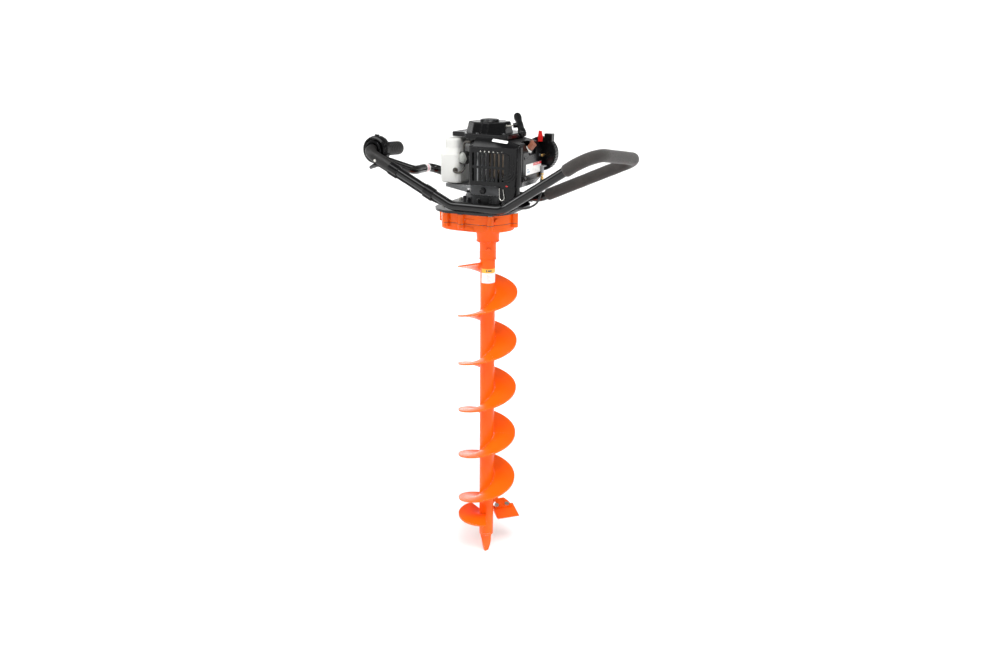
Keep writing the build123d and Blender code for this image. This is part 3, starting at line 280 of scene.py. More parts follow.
def worn_orange_point():
    """Enamel rubbed back to steel towards the tip, where the point enters the ground."""
    material = finish("point_steel", ORANGE, 0.38, vary=0.1, vary_scale=30, grain=(700, 0.0001),
                      wear=(STEEL, 0.5, 0.35, 0.9), shine=0.3)
    return material


def blade_enamel():
    return finish("blade_enamel", ORANGE, 0.36, vary=0.08, vary_scale=60, grain=(500, 0.00008),
                  wear=((0.6, 0.58, 0.55), 0.8, 0.3, 1.0), shine=0.35)


def black_paint():
    return finish("black_paint", (0.0025, 0.0025, 0.0027), 0.12, vary=0.2, vary_scale=14,
                  grain=(800, 0.00003), edge=0.0008, wear=((0.2, 0.2, 0.2), 0.1, 0.4, 0.6), shine=0.42)


def dark_casting():
    return finish("dark_casting", (0.04, 0.041, 0.043), 0.4, 0.4, vary=0.25, vary_scale=26,
                  grain=(1000, 0.00016), edge=0.001, wear=((0.4, 0.4, 0.4), 0.5, 0.3, 0.9))


def cast_aluminium():
    return finish("cast_aluminium", (0.27, 0.275, 0.28), 0.40, 0.75, vary=0.14, vary_scale=24,
                  grain=(1100, 0.00014), edge=0.0011, wear=((0.9, 0.9, 0.9), 0.6, 0.22, 1.0))


def zinc_steel():
    return finish("zinc_steel", (0.66, 0.65, 0.60), 0.3, 0.95, vary=0.1, vary_scale=120,
                  grain=(900, 0.00004), edge=0.0004, wear=((0.85, 0.85, 0.83), 0.5, 0.2, 1.0))


def machined_steel():
    return finish("machined_steel", (0.5, 0.5, 0.51), 0.28, 0.95, vary=0.08, vary_scale=50,
                  grain=(420, 0.00005), edge=0.0005, stretch=(1, 1, 14))


def black_plastic():
    return finish("black_plastic", (0.003, 0.003, 0.0034), 0.17, vary=0.25, vary_scale=18,
                  grain=(2200, 0.00004), edge=0.0011, wear=((0.07, 0.07, 0.07), 0.15, 0.6, 0.0), shine=0.24)


def foam_skin():
    """Closed-cell foam: open pores over a slightly uneven brown-black skin; the pores are painted darker as
    shade in their hollows.
    """
    tree = Tree("foam")
    pores = tree.add("ShaderNodeTexVoronoi", {"Vector": tree.coords, "Scale": 750.0}, feature="F1")
    pore_depth_and_shade = tree.span(pores.outputs["Distance"], 0.05, 0.55, 0.0, 1.0)
    patches = tree.noise(60.0, 6.0)
    dark = tree.blend(tree.span(patches, 0.3, 0.7, 0.0, 1.0), (0.018, 0.015, 0.013, 1), (0.036, 0.030, 0.027, 1))
    # painted shade: the pore hollows, where the bump is lowest, are coloured near black
    tree.put(tree.blend(pore_depth_and_shade, shade((0.008, 0.007, 0.006), 1), dark), tree.shader.inputs["Base Color"])
    height = tree.maths("ADD", pore_depth_and_shade, tree.maths("MULTIPLY", patches, 0.8))
    bump = tree.add("ShaderNodeBump", {"Height": height, "Distance": 0.0003, "Strength": 0.8})
    tree.put(bump.outputs[0], tree.shader.inputs["Normal"])
    tree.put(tree.span(patches, 0.2, 0.8, 0.78, 0.95), tree.shader.inputs["Roughness"])
    tree.shader.inputs["Sheen Weight"].default_value = 0.25
    return tree.material


def tank_plastic():
    """Milky translucent plastic, a little yellowed, with faint mould texture."""
    material = finish("tank_plastic", (0.70, 0.70, 0.67), 0.36, vary=0.03, vary_scale=14,
                      grain=(1500, 0.00005), edge=0.0012)
    shader = material.node_tree.nodes["Principled BSDF"]
    shader.inputs["Transmission Weight"].default_value = 0.12
    shader.inputs["Subsurface Weight"].default_value = 0.35
    shader.inputs["Subsurface Radius"].default_value = (0.01, 0.01, 0.009)
    shader.inputs["Subsurface Scale"].default_value = 0.6
    return material


def braided(name, light, dark, scale=1900.0):
    """Woven cord: two crossing waves along the row's diagonals, with painted shade in the grooves between
    strands.
    """
    tree = Tree(name)
    heights = []
    for direction in ((1.0, 1.0, 0.4), (-1.0, 1.0, 0.7)):
        mapping = tree.add("ShaderNodeMapping", {"Vector": tree.coords, "Scale": direction})
        wave = tree.add("ShaderNodeTexWave",
                        {"Vector": mapping.outputs[0], "Scale": scale / 3, "Distortion": 0.4})
        heights.append(wave.outputs["Fac"])
    weave_height_and_shade = tree.maths("MAXIMUM", *heights)
    # painted shade: the low parts of the weave take the dark colour, the raised strands the light one
    tree.put(tree.blend(weave_height_and_shade, shade(dark, 1), shade(light, 1)), tree.shader.inputs["Base Color"])
    bump = tree.add("ShaderNodeBump", {"Height": weave_height_and_shade, "Distance": 0.0003, "Strength": 0.9})
    tree.put(bump.outputs[0], tree.shader.inputs["Normal"])
    tree.put(tree.span(weave_height_and_shade, 0, 1, 0.95, 0.7), tree.shader.inputs["Roughness"])
    return tree.material


FINISHES = {
    "orange_paint": orange_paint,
    "point_steel": worn_orange_point,
    "blade_enamel": blade_enamel,
    "black_paint": black_paint,
    "dark_casting": dark_casting,
    "cast_aluminium": cast_aluminium,
    "zinc_steel": zinc_steel,
    "machined_steel": machined_steel,
    "black_plastic": black_plastic,
    "foam": foam_skin,
    "tank_plastic": tank_plastic,
    "gasket_fibre": lambda: finish("gasket_fibre", (0.03, 0.03, 0.028), 0.9, grain=(1400, 0.0001)),
    "friction_lining": lambda: finish("friction_lining", (0.09, 0.07, 0.05), 0.9, vary=0.3,
                                      vary_scale=400, grain=(900, 0.0002)),
    "grip_rubber": lambda: finish("grip_rubber", (0.014, 0.0135, 0.013), 0.5, vary=0.2,
                                  grain=(1600, 0.00008), edge=0.0008, shine=0.3),
    "boot_rubber": lambda: finish("boot_rubber", (0.26, 0.085, 0.045), 0.35, vary=0.2, vary_scale=90,
                                  grain=(1200, 0.00005), edge=0.0008),
    "red_plastic": lambda: finish("red_plastic", (0.62, 0.012, 0.01), 0.3, vary=0.08,
                                  grain=(900, 0.00004), coat=0.2),
    "cable_sheath": lambda: finish("cable_sheath", (0.010, 0.010, 0.011), 0.35, vary=0.2,
                                   vary_scale=80, grain=(1200, 0.00005)),
    "rope_fibre": lambda: braided("rope_fibre", (0.75, 0.73, 0.66), (0.25, 0.22, 0.18)),
    "filter_foam": lambda: finish("filter_foam", (0.10, 0.09, 0.07), 0.95, vary=0.4,
                                  vary_scale=700, grain=(900, 0.0006), sheen=0.2),
    "muffler_steel": lambda: finish("muffler_steel", (0.30, 0.24, 0.19), 0.38, 0.9, vary=0.35,
                                    vary_scale=22, grain=(300, 0.00005)),
    "plated_brass": lambda: finish("plated_brass", (0.76, 0.5, 0.19), 0.28, 1.0, vary=0.1,
                                   grain=(700, 0.00004)),
    "plug_ceramic": lambda: finish("plug_ceramic", (0.8, 0.79, 0.74), 0.16, vary=0.03, coat=0.5,
                                   grain=(200, 0.00002)),
    "primer_rubber": lambda: finish("primer_rubber", (0.27, 0.28, 0.26), 0.3, vary=0.06,
                                    grain=(500, 0.00004), coat=0.3),
    "hose": lambda: finish("hose", (0.035, 0.03, 0.022), 0.45, vary=0.25, vary_scale=120,
                           grain=(900, 0.00004), coat=0.1),
}
MATERIALS = {name: make() for name, make in FINISHES.items()}


def label_material(name, ground, ink, blocks, axis_scale):
    """Printed film: a plain ground with generic bars of ink and no lettering."""
    tree = Tree(name)
    split = tree.add("ShaderNodeSeparateXYZ", {"Vector": tree.add("ShaderNodeTexCoord").outputs["UV"]})
    across, up = split.outputs[0], split.outputs[1]
    colour = shade(ground, 1)
    for left, right, bottom, top in blocks:
        inside = 1.0
        for value, sign, limit in ((across, 1, left), (across, -1, right), (up, 1, bottom), (up, -1, top)):
            step = tree.maths("GREATER_THAN" if sign > 0 else "LESS_THAN", value, limit)
            inside = step if inside == 1.0 else tree.maths("MULTIPLY", inside, step)
        colour = tree.blend(inside, colour, shade(ink, 1))
    grime = tree.noise(90.0 * axis_scale, 5.0)
    tree.put(tree.blend(tree.span(grime, 0.55, 0.8, 0.0, 0.25), colour, (0.25, 0.24, 0.22, 1)),
             tree.shader.inputs["Base Color"])
    bump = tree.add("ShaderNodeBump", {"Height": tree.noise(500.0, 2.0), "Distance": 0.00003, "Strength": 1.0})
    tree.put(bump.outputs[0], tree.shader.inputs["Normal"])
    tree.shader.inputs["Roughness"].default_value = 0.33
    tree.shader.inputs["Coat Weight"].default_value = 0.3
    return tree.material


# ---- mesh helpers -------------------------------------------------------------------
def piece(name, vertices, faces, slot, body, smooth=True):
    """A mesh that rides on body and takes the finish of a material slot or of a print."""
    mesh = bpy.data.meshes.new(name)
    mesh.from_pydata([tuple(v) for v in vertices], [], faces)
    mesh.validate()
    bm = bmesh.new()
    bm.from_mesh(mesh)
    bmesh.ops.recalc_face_normals(bm, faces=bm.faces)
    bm.to_mesh(mesh)
    bm.free()
    for polygon in mesh.polygons:
        polygon.use_smooth = smooth
    thing = bpy.data.objects.new(name, mesh)
    bpy.context.collection.objects.link(thing)
    mesh.materials.append(MATERIALS[slot])
    if smooth:
        mesh.set_sharp_from_angle(angle=math.radians(38))
    if body:
        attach(thing, body)
    return thing


def square_to(direction):
    """Two unit vectors square to direction and to each other."""
    direction = direction.normalized()
    helper = AXIS_Z if abs(direction.z) < 0.9 else AXIS_X
    side = direction.cross(helper).normalized()
    return side, direction.cross(side).normalized()


def swept(name, path, radius, slot, body, sides=20, shape=None):
    """Round bar along a list of points. radius and shape may depend on how far along it is."""
    path = [Vector(p) for p in path]
    count = len(path)
    side, up = square_to(path[1] - path[0])
    previous = (path[1] - path[0]).normalized()
    vertices, faces = [], []
    for i, point in enumerate(path):
        ahead = path[min(i + 1, count - 1)] - path[max(i - 1, 0)]
        turn = previous.rotation_difference(ahead.normalized())
        side, up, previous = turn @ side, turn @ up, ahead.normalized()
        t = i / (count - 1)
        here = radius(t) if callable(radius) else radius
        for k in range(sides):
            angle = 2 * math.pi * k / sides
            r = here * (shape(t, angle) if shape else 1.0)
            vertices.append(point + side * (r * math.cos(angle)) + up * (r * math.sin(angle)))
    for i in range(count - 1):
        for k in range(sides):
            a, b = i * sides + k, i * sides + (k + 1) % sides
            faces.append((a, b, b + sides, a + sides))
    faces.append(tuple(range(sides)))
    faces.append(tuple(range((count - 1) * sides, count * sides)))
    return piece(name, vertices, faces, slot, body)


def lathed(name, profile, origin, axis, slot, body, sides=40):
    """A profile of (radius, height) pairs turned round an axis. Its ends close on the axis."""
    side, up = square_to(Vector(axis))
    along = Vector(axis).normalized()
    vertices, faces = [], []
    for radius, height in profile:
        for k in range(sides):
            angle = 2 * math.pi * k / sides
            out = side * math.cos(angle) + up * math.sin(angle)
            vertices.append(Vector(origin) + along * height + out * max(radius, 1e-5))
    rows = len(profile)
    for i in range(rows - 1):
        for k in range(sides):
            a, b = i * sides + k, i * sides + (k + 1) % sides
            faces.append((a, b, b + sides, a + sides))
    faces.append(tuple(range(sides)))
    faces.append(tuple(range((rows - 1) * sides, rows * sides)))
    return piece(name, vertices, faces, slot, body)


def plate(name, centre, normal, up, width, height, thickness, corner, slot, body):
    """Thin panel with rounded corners and a rounded rim, standing on a surface."""
    normal, up = Vector(normal).normalized(), Vector(up)
    up = (up - normal * up.dot(normal)).normalized()
    across = up.cross(normal)
    outline = []
    for quarter in range(4):
        for k in range(7):
            angle = math.pi / 2 * (quarter + k / 6)
            sx = 1 if quarter in (0, 3) else -1
            sy = 1 if quarter in (0, 1) else -1
            outline.append((sx * (width / 2 - corner) + corner * math.cos(angle),
                            sy * (height / 2 - corner) + corner * math.sin(angle)))
    vertices, faces = [], []
    rim = min(thickness * 0.4, corner * 0.5)
    for level, inset in ((0, 0), (thickness - rim, 0), (thickness, rim)):
        for x, y in outline:
            sx, sy = 1 - 2 * inset / width, 1 - 2 * inset / height
            vertices.append(Vector(centre) + across * (x * sx) + up * (y * sy) + normal * level)
    n = len(outline)
    for row in range(2):
        for k in range(n):
            a, b = row * n + k, row * n + (k + 1) % n
            faces.append((a, b, b + n, a + n))
    faces.append(tuple(range(n)))
    faces.append(tuple(range(2 * n, 3 * n)))
    thing = piece(name, vertices, faces, slot, body)
    layer = thing.data.uv_layers.new(name="print")
    for loop in thing.data.loops:
        x, y = outline[loop.vertex_index % n]
        layer.data[loop.index].uv = (x / width + 0.5, y / height + 0.5)
    return thing


def wrap(name, origin, axis, radius, start, end, bottom, top, slot, body, steps=40):
    """Film wrapped round a tube between two angles and two heights."""
    side, up = square_to(Vector(axis))
    along = Vector(axis).normalized()
    thick = 0.00025
    vertices, faces, places = [], [], []
    for i in range(steps + 1):
        angle = start + (end - start) * i / steps
        out = side * math.cos(angle) + up * math.sin(angle)
        for height, r in ((bottom, radius), (bottom, radius + thick), (top, radius + thick), (top, radius)):
            vertices.append(Vector(origin) + along * height + out * r)
            places.append((i / steps, 0.0 if height == bottom else 1.0))
    for i in range(steps):
        for k in range(3):
            a = i * 4 + k
            faces.append((a, a + 1, a + 5, a + 4))
    faces += [(0, 1, 2, 3), tuple(steps * 4 + k for k in range(4))]
    thing = piece(name, vertices, faces, slot, body)
    layer = thing.data.uv_layers.new(name="print")
    for loop in thing.data.loops:
        layer.data[loop.index].uv = places[loop.vertex_index]
    return thing


def rounded_route(points, radii, step=0.004):
    """Points along straight runs joined by tangent arcs, about one step apart."""
    points = [Vector(p) for p in points]
    route = [points[0]]
    for i, radius in enumerate(radii, start=1):
        here = points[i]
        back, on = (points[i - 1] - here).normalized(), (points[i + 1] - here).normalized()
        half = back.angle(on) / 2
        reach = radius / math.tan(half)
        centre = here + (back + on).normalized() * (radius / math.sin(half))
        start, end = here + back * reach, here + on * reach
        first = start - centre
        axis = first.cross(end - centre).normalized()
        sweep_angle = first.angle(end - centre)
        count = max(4, int(sweep_angle * radius / step))
        straight(route, start, step)
        for k in range(1, count + 1):
            route.append(centre + Quaternion(axis, sweep_angle * k / count) @ first)
    straight(route, points[-1], step)
    return route


def straight(route, end, step):
    """Extends route to end in even steps."""
    start = route[-1].copy()
    count = max(1, round((end - start).length / step))
    for k in range(1, count + 1):
        route.append(start.lerp(end, k / count))


def cross_screw(name, place, axis, radius, body, slot="zinc_steel"):
    """Pan-head screw."""
    lathed(name, [(radius, 0), (radius, radius * 0.35), (radius * 0.85, radius * 0.62),
                  (radius * 0.5, radius * 0.75), (0, radius * 0.78)], place, axis, slot, body, 24)


# ---- printed films ------------------------------------------------------------------
WHITE, YELLOW, RED, INK = (0.85, 0.85, 0.83), (0.95, 0.48, 0.02), (0.7, 0.02, 0.03), (0.05, 0.05, 0.05)


def bars(left, right, bottom, top, rows, fill=0.5):
    """Evenly spaced generic ink bars filling a rectangle of a label."""
    pitch = (top - bottom) / rows
    return [(left, right - 0.08 * (k % 3), bottom + pitch * (k + 0.5 - fill / 2),
             bottom + pitch * (k + 0.5 + fill / 2)) for k in range(rows)]


PRINTS = {
    "bit_print": (WHITE, (0.45, 0.45, 0.46), bars(0.35, 0.62, 0.15, 0.85, 6, 0.3)),
    "bit_strip": (YELLOW, INK, [(0.32, 0.38, 0.2, 0.8), (0.42, 0.66, 0.3, 0.7)]),
    "guard_print": (WHITE, (0.3, 0.3, 0.3), bars(0.1, 0.9, 0.2, 0.8, 2, 0.3)),
    "shroud_print": (WHITE, (0.28, 0.38, 0.5), bars(0.08, 0.24, 0.15, 0.85, 3)),
    "red_print": (RED, (0.9, 0.8, 0.8), [(0.08, 0.14, 0.3, 0.7), (0.2, 0.75, 0.4, 0.6)]),
    "jog_print": (WHITE, (0.8, 0.12, 0.25), bars(0.3, 0.8, 0.3, 0.9, 2, 0.4)),
}
for print_name, (ground, ink, blocks) in PRINTS.items():
    MATERIALS[print_name] = label_material(print_name, ground, ink, blocks, 1)


# ---- the bit ------------------------------------------------------------------------
FLIGHT_PITCH = 0.1302
FLIGHT_FOOT_ANGLE = math.radians(90)
FLIGHT_HALF = 0.002
TUBE_R = (high("bit_tube").x - low("bit_tube").x) / 2


def weld_bead(t, angle):
    """Overlapping scales of a weld, as a factor on its radius."""
    return 1 + 0.16 * math.sin(420 * t) + 0.05 * math.sin(97 * t + angle)


def flight_welds():
    """A bead above and one below each turn, where the flight meets the tube."""
    foot, top = low("flight_lower").z + FLIGHT_HALF, high("flight_upper").z - FLIGHT_HALF
    steps = 420
    for name, lift in (("flight_weld_top", 0.0031), ("flight_weld_under", -0.0031)):
        path = []
        for i in range(steps + 1):
            z = foot + (top - foot) * i / steps
            angle = FLIGHT_FOOT_ANGLE + 2 * math.pi * (z - foot) / FLIGHT_PITCH
            path.append(Vector((math.cos(angle), math.sin(angle), 0)) * (TUBE_R + 0.0009) + AXIS_Z * (z + lift))
        swept(name, path, 0.0019, "orange_paint", "bit", 8, lambda t, a: 1 + 0.14 * math.sin(1600 * t))


def bit_prints():
    """Warning film left plain: a coloured strip over a white panel."""
    top = low("bit_socket").z
    start, end = math.radians(-118 - 90), math.radians(11 - 90)
    wrap("bit_label_strip", (0, 0, top), AXIS_Z, TUBE_R, start, end, -0.034, -0.024, "bit_strip", "bit")
    wrap("bit_label", (0, 0, top), AXIS_Z, TUBE_R, start, end, -0.061, -0.0345, "bit_print", "bit")


def socket_rings():
    """Weld round the foot of the socket and a rolled ring at the hub's mouth."""
    bottom = low("bit_socket").z
    ring_path("socket_weld", (0, 0, bottom), TUBE_R + 0.0012, 0.0017, "orange_paint", "bit")
    hub = low("gear_case_lower").z
    ring_path("hub_lip", (0, 0, hub + 0.0022), 0.0281, 0.0012, "orange_paint", "powerhead")


def ring_path(name, centre, radius, thickness, slot, body, steps=72):
    """Closed ring of round section, its seam out of sight at the back."""
    path = []
    for i in range(steps + 1):
        angle = math.pi / 2 + 2 * math.pi * i / steps
        path.append(Vector(centre) + Vector((radius * math.cos(angle), radius * math.sin(angle), 0)))
    return swept(name, path, thickness, slot, body, 10, lambda t, a: 1 + 0.1 * math.sin(300 * t))


# ---- gear case and frame ------------------------------------------------------------
def case_details():
    """Raised blank panel, filler plug, and the ribs between the bolt lugs."""
    front, split = -0.066, 0.9345
    plate("case_panel", (-0.030, front - 0.0002, split - 0.010), -AXIS_Y, AXIS_Z, 0.044, 0.009, 0.0009,
          0.002, "orange_paint", "powerhead")
    for name, x, z in (("case_rib_high", -0.0285, split + 0.012), ("case_rib_low", -0.0285, split - 0.0165)):
        swept(name, [(x - 0.022, front - 0.0002, z), (x, front - 0.0002, z), (x + 0.022, front - 0.0002, z)],
              0.0011, "orange_paint", "powerhead", 10)
    hexagon = lambda t, a: 1 / math.cos((a + math.pi / 6) % (math.pi / 3) - math.pi / 6)
    place = Vector((0.046, -0.0485, split + 0.011))
    out = Vector((0.69, -0.72, 0))
    swept("filler_plug", [place, place + out * 0.003, place + out * 0.0055], 0.0052,
          "orange_paint", "powerhead", 36, hexagon)


FRAME_DEPTH = 0.105


def frame_welds():
    """Beads along the two tubes where they sit on the plate."""
    plate_top = high("mounting_plate").z
    left, right = low("mounting_plate").x + 0.075, high("mounting_plate").x - 0.012
    for k, y in enumerate((-FRAME_DEPTH, FRAME_DEPTH)):
        for side in (-1, 1):
            row = y + side * 0.0048
            path = [(left + (right - left) * i / 60, row, plate_top + 0.0009) for i in range(61)]
            swept(f"plate_weld_{k}_{side + 1}", path, 0.0018, "black_paint", "powerhead", 8, weld_bead)


GRIP_END, GRIP_CORNER = mm(-285, 42, 1094), mm(-285, -105, 1101)
FRONT_LEFT_BEND, FRONT_RIGHT_BEND = mm(-46, -105, 984), mm(88, -105, 984)
LOOP_FRONT, LOOP_REAR = mm(303, -105, 1126), mm(344, 105, 1096)
REAR_RIGHT_BEND = mm(96, 105, 984)
JOG_REAR, JOG_FRONT = mm(-206, 86, 1046), mm(-192, -30, 1050)
HANDLE_R = 0.0111
FOAM_R = 0.015


def foam_handle():
    """The padded loop: foam with softly crowned ends, a glued seam and slight unevenness."""
    start = FRONT_RIGHT_BEND.lerp(LOOP_FRONT, 0.70)
    end = REAR_RIGHT_BEND.lerp(LOOP_REAR, 0.07)
    route = rounded_route([start, LOOP_FRONT, LOOP_REAR, end], [0.062, 0.028])
    length = len(route) - 1

    def radius(t):
        edge = min(t, 1 - t) * length * 0.004
        crown = 1 - 0.2 * math.exp(-edge / 0.0016)
        return FOAM_R * crown

    def uneven(t, angle):
        seam = 0.035 * math.exp(-((math.atan2(math.sin(angle - 2.2), math.cos(angle - 2.2)) / 0.09) ** 2))
        return 1 - seam - 0.006 * (1 + math.sin(23 * t + 2 * angle) * math.sin(61 * t + angle))

    pad = swept("foam_loop", route, radius, "foam", "powerhead", 44, uneven)
    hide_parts("foam_pad")


def corner_sleeve():
    """Moulded sleeve round the bent corner, where the throttle head is fixed."""
    route = rounded_route([GRIP_END, GRIP_CORNER, FRONT_LEFT_BEND], [0.030], 0.002)
    lengths = [0.0]
    for a, b in zip(route, route[1:]):
        lengths.append(lengths[-1] + (b - a).length)
    corner = (GRIP_END - GRIP_CORNER).length - 0.030
    part = [p for p, d in zip(route, lengths) if corner - 0.002 < d < corner + 0.108]

    def radius(t):
        step = 0.0004 if 0.10 < t < 0.13 else 0.0
        return HANDLE_R + 0.0026 - step - 0.0016 * max(0.0, (t - 0.72) / 0.28)

    swept("corner_sleeve", part, radius, "grip_rubber", "powerhead", 36)
    fall = (FRONT_LEFT_BEND - GRIP_CORNER).normalized()
    place = GRIP_CORNER + fall * 0.040
    out = Vector((fall.z, 0, -fall.x)) * 0.25 - AXIS_Y
    cross_screw("sleeve_screw", place + out.normalized() * 0.0134, out, 0.0036, "powerhead")


def jog_sticker():
    along = (JOG_FRONT - JOG_REAR).normalized()
    wrap("jog_label", JOG_REAR + along * 0.036, along, HANDLE_R, 0.0, math.radians(300), 0.0, 0.022,
         "jog_print", "powerhead")


# ---- cords --------------------------------------------------------------------------
CABLE_R = 0.0026
CABLE_DROP = HANDLE_R + CABLE_R + 0.0011
ARC_SHARE, ARC_LIMIT = 0.45, 0.045


def under_tube(distance):
    fall = (FRONT_LEFT_BEND - GRIP_CORNER).normalized()
    return GRIP_CORNER + fall * distance + Vector((fall.z, 0, -fall.x)) * CABLE_DROP


CABLE_ROUTE = [mm(-283, -64, 1062), mm(-282, -98, 1057), under_tube(0.042), under_tube(0.224),
               mm(-60, -91, 979.5), mm(-30, -85, 978), mm(54, -83, 978), mm(88, -34, 977),
               mm(104, 6, 972.5), mm(119, 34, 982), mm(122.5, 48, 1012), mm(122.5, 48, 1069.5)]


def route_radii(points, limit):
    """Largest tangent arc that each corner of a route leaves room for, up to a limit."""
    radii = []
    for before, here, after in zip(points, points[1:], points[2:]):
        arriving, leaving = here - before, after - here
        room = ARC_SHARE * min(arriving.length, leaving.length) / math.tan(arriving.angle(leaving) / 2)
        radii.append(min(room, limit))
    return radii


def throttle_cord():
    """The sheathed cable on its clamped route, with a boot at the head and a brass adjuster."""
    route = rounded_route(CABLE_ROUTE, route_radii(CABLE_ROUTE, ARC_LIMIT), 0.003)
    ribbed = lambda t, a: 1 + 0.012 * math.sin(2200 * t)
    cable = swept("cable_sheathed", route, CABLE_R, "cable_sheath", "powerhead", 16, ribbed)
    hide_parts("throttle_cable")
    swept("cable_boot", route[:12], lambda t: 0.0062 - 0.0026 * t, "grip_rubber", "powerhead", 20,
          lambda t, a: 1 + 0.05 * math.sin(40 * t))
    end = CABLE_ROUTE[-1]
    lathed("cable_adjuster", [(0.0042, 0), (0.0042, 0.004), (0.0035, 0.0045), (0.0035, 0.012),
                              (0.0044, 0.0124), (0.0044, 0.0155), (0.0030, 0.016)],
           end - AXIS_Z * 0.030, AXIS_Z, "plated_brass", "powerhead", 24)
    lathed("cable_ferrule", [(0.0030, 0), (0.0048, 0.0008), (0.0052, 0.004), (0.0048, 0.0072), (0.0030, 0.008)],
           end - AXIS_Z * 0.038, AXIS_Z, "grip_rubber", "powerhead", 24)


ROPE_FOOT = mm(17.5, -23.9, 1163.5)
PULL = Vector((0.85, 0.517, 0.113)).normalized()
HANDLE_AT = 0.070


def pull_cord():
    """Braided starter rope running straight out of its guide towards the handle."""
    start, end = ROPE_FOOT + PULL * 0.020, ROPE_FOOT + PULL * (HANDLE_AT - 0.008)
    route = [start.lerp(end, i / 90) for i in range(91)]
    rope = swept("pull_rope", route, 0.002, "rope_fibre", None, 16,
                 lambda t, a: 0.94 + 0.06 * math.cos(3 * a + 90 * t))
    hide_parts("starter_rope")
    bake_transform(rope)
    lathed("rope_eyelet", [(0.0032, 0), (0.0066, 0.0004), (0.0074, 0.0018), (0.0062, 0.0034), (0.0032, 0.0036)],
           ROPE_FOOT + PULL * 0.034, PULL, "zinc_steel", "powerhead", 32)


# ---- engine -------------------------------------------------------------------------
GUARD_LEFT, GUARD_FRONT, GUARD_TOP = low("muffler_guard").x, low("muffler_guard").y, high("muffler_guard").z
GUARD_RIGHT = high("muffler_guard").x
GUARD_CORNER = 0.024


def on_guard(x, z, proud=0.0002):
    """Point on the heat guard's front, which turns back round its right-hand corner."""
    over = x - (GUARD_RIGHT - GUARD_CORNER)
    back = GUARD_CORNER - math.sqrt(max(0.0, GUARD_CORNER ** 2 - over ** 2)) if over > 0 else 0.0
    return Vector((x, GUARD_FRONT - proud + back, z))


def guard_ribs():
    """Nested ribs that run down the guard's round corner and sweep left under the louvres."""
    for k in range(4):
        right, bottom = GUARD_RIGHT - 0.021 + 0.0055 * k, 1.064 - 0.0058 * k
        bend = 0.010 + 0.005 * k
        flat = rounded_route([(right, 0, GUARD_TOP - 0.014 - 0.002 * k), (right, 0, bottom),
                              (GUARD_RIGHT - 0.045, 0, bottom)], [bend], 0.002)
        swept(f"guard_rib_{k}", [on_guard(p.x, p.z) for p in flat], 0.0012, "black_plastic", "powerhead", 12)
    ridge = [on_guard(GUARD_LEFT + 0.022 + 0.084 * i / 50, GUARD_TOP - 0.004 - 0.012 * (i / 50) ** 2.2)
             for i in range(51)]
    swept("guard_ridge", ridge, 0.0017, "black_plastic", "powerhead", 14)
    for k in range(6):
        x = GUARD_LEFT + 0.034 + 0.011 * k
        lathed(f"guard_stud_{k}", [(0.0016, 0), (0.0016, 0.0006), (0.001, 0.001), (0, 0.0010)],
               on_guard(x, GUARD_TOP - 0.0105, 0.0), -AXIS_Y, "zinc_steel", "powerhead", 16)


HOOD_REAR_Y = -0.0665


def guard_hood():
    """Sloping shoulder from the guard's ridge up to the shroud, with a blank label."""
    across, back = 40, 10
    vertices, faces = [], []
    for skin in (0.0, 0.002):
        for i in range(across + 1):
            x = GUARD_LEFT + 0.012 + (GUARD_RIGHT - GUARD_LEFT - 0.018) * i / across
            front = on_guard(x, hood_front(x), -0.001)
            rear = Vector((x, HOOD_REAR_Y, hood_rear(x)))
            for j in range(back + 1):
                t = j / back
                bulge = 0.0035 * math.sin(math.pi * t)
                vertices.append(front.lerp(rear, t) + AXIS_Z * (bulge - skin))
    row, half = back + 1, (across + 1) * (back + 1)
    for i in range(across):
        for j in range(back):
            a = i * row + j
            faces.append((a, a + 1, a + row + 1, a + row))
            faces.append((a + half, a + half + row, a + half + row + 1, a + half + 1))
    for i in range(across):
        for j in (0, back):
            a = i * row + j
            faces.append((a, a + row, a + row + half, a + half))
    for i in (0, across):
        for j in range(back):
            a = i * row + j
            faces.append((a, a + 1, a + 1 + half, a + half))
    piece("guard_hood", vertices, faces, "black_plastic", "powerhead")
    x, t = 0.066, 0.70
    front, rear = on_guard(x, hood_front(x), -0.001), Vector((x, HOOD_REAR_Y, hood_rear(x)))
    rise = (rear - front).normalized()
    fall = Vector((0.04, 0, hood_rear(x + 0.02) - hood_rear(x - 0.02))).normalized()
    out = fall.cross(rise).normalized()
    plate("guard_label", front.lerp(rear, t) + out * 0.0030, out, rise, 0.038, 0.0085, 0.0003, 0.001,
          "guard_print", "powerhead")


def hood_front(x):
    """Height of the guard's ridge, falling towards the plug end."""
    share = (x - GUARD_LEFT) / (GUARD_RIGHT - GUARD_LEFT)
    return GUARD_TOP - 0.001 - 0.013 * max(0.0, share - 0.25) ** 1.4


def hood_rear(x):
    share = (x - GUARD_LEFT) / (GUARD_RIGHT - GUARD_LEFT)
    return GUARD_TOP + 0.0190 - 0.017 * max(0.0, share - 0.55) / 0.45


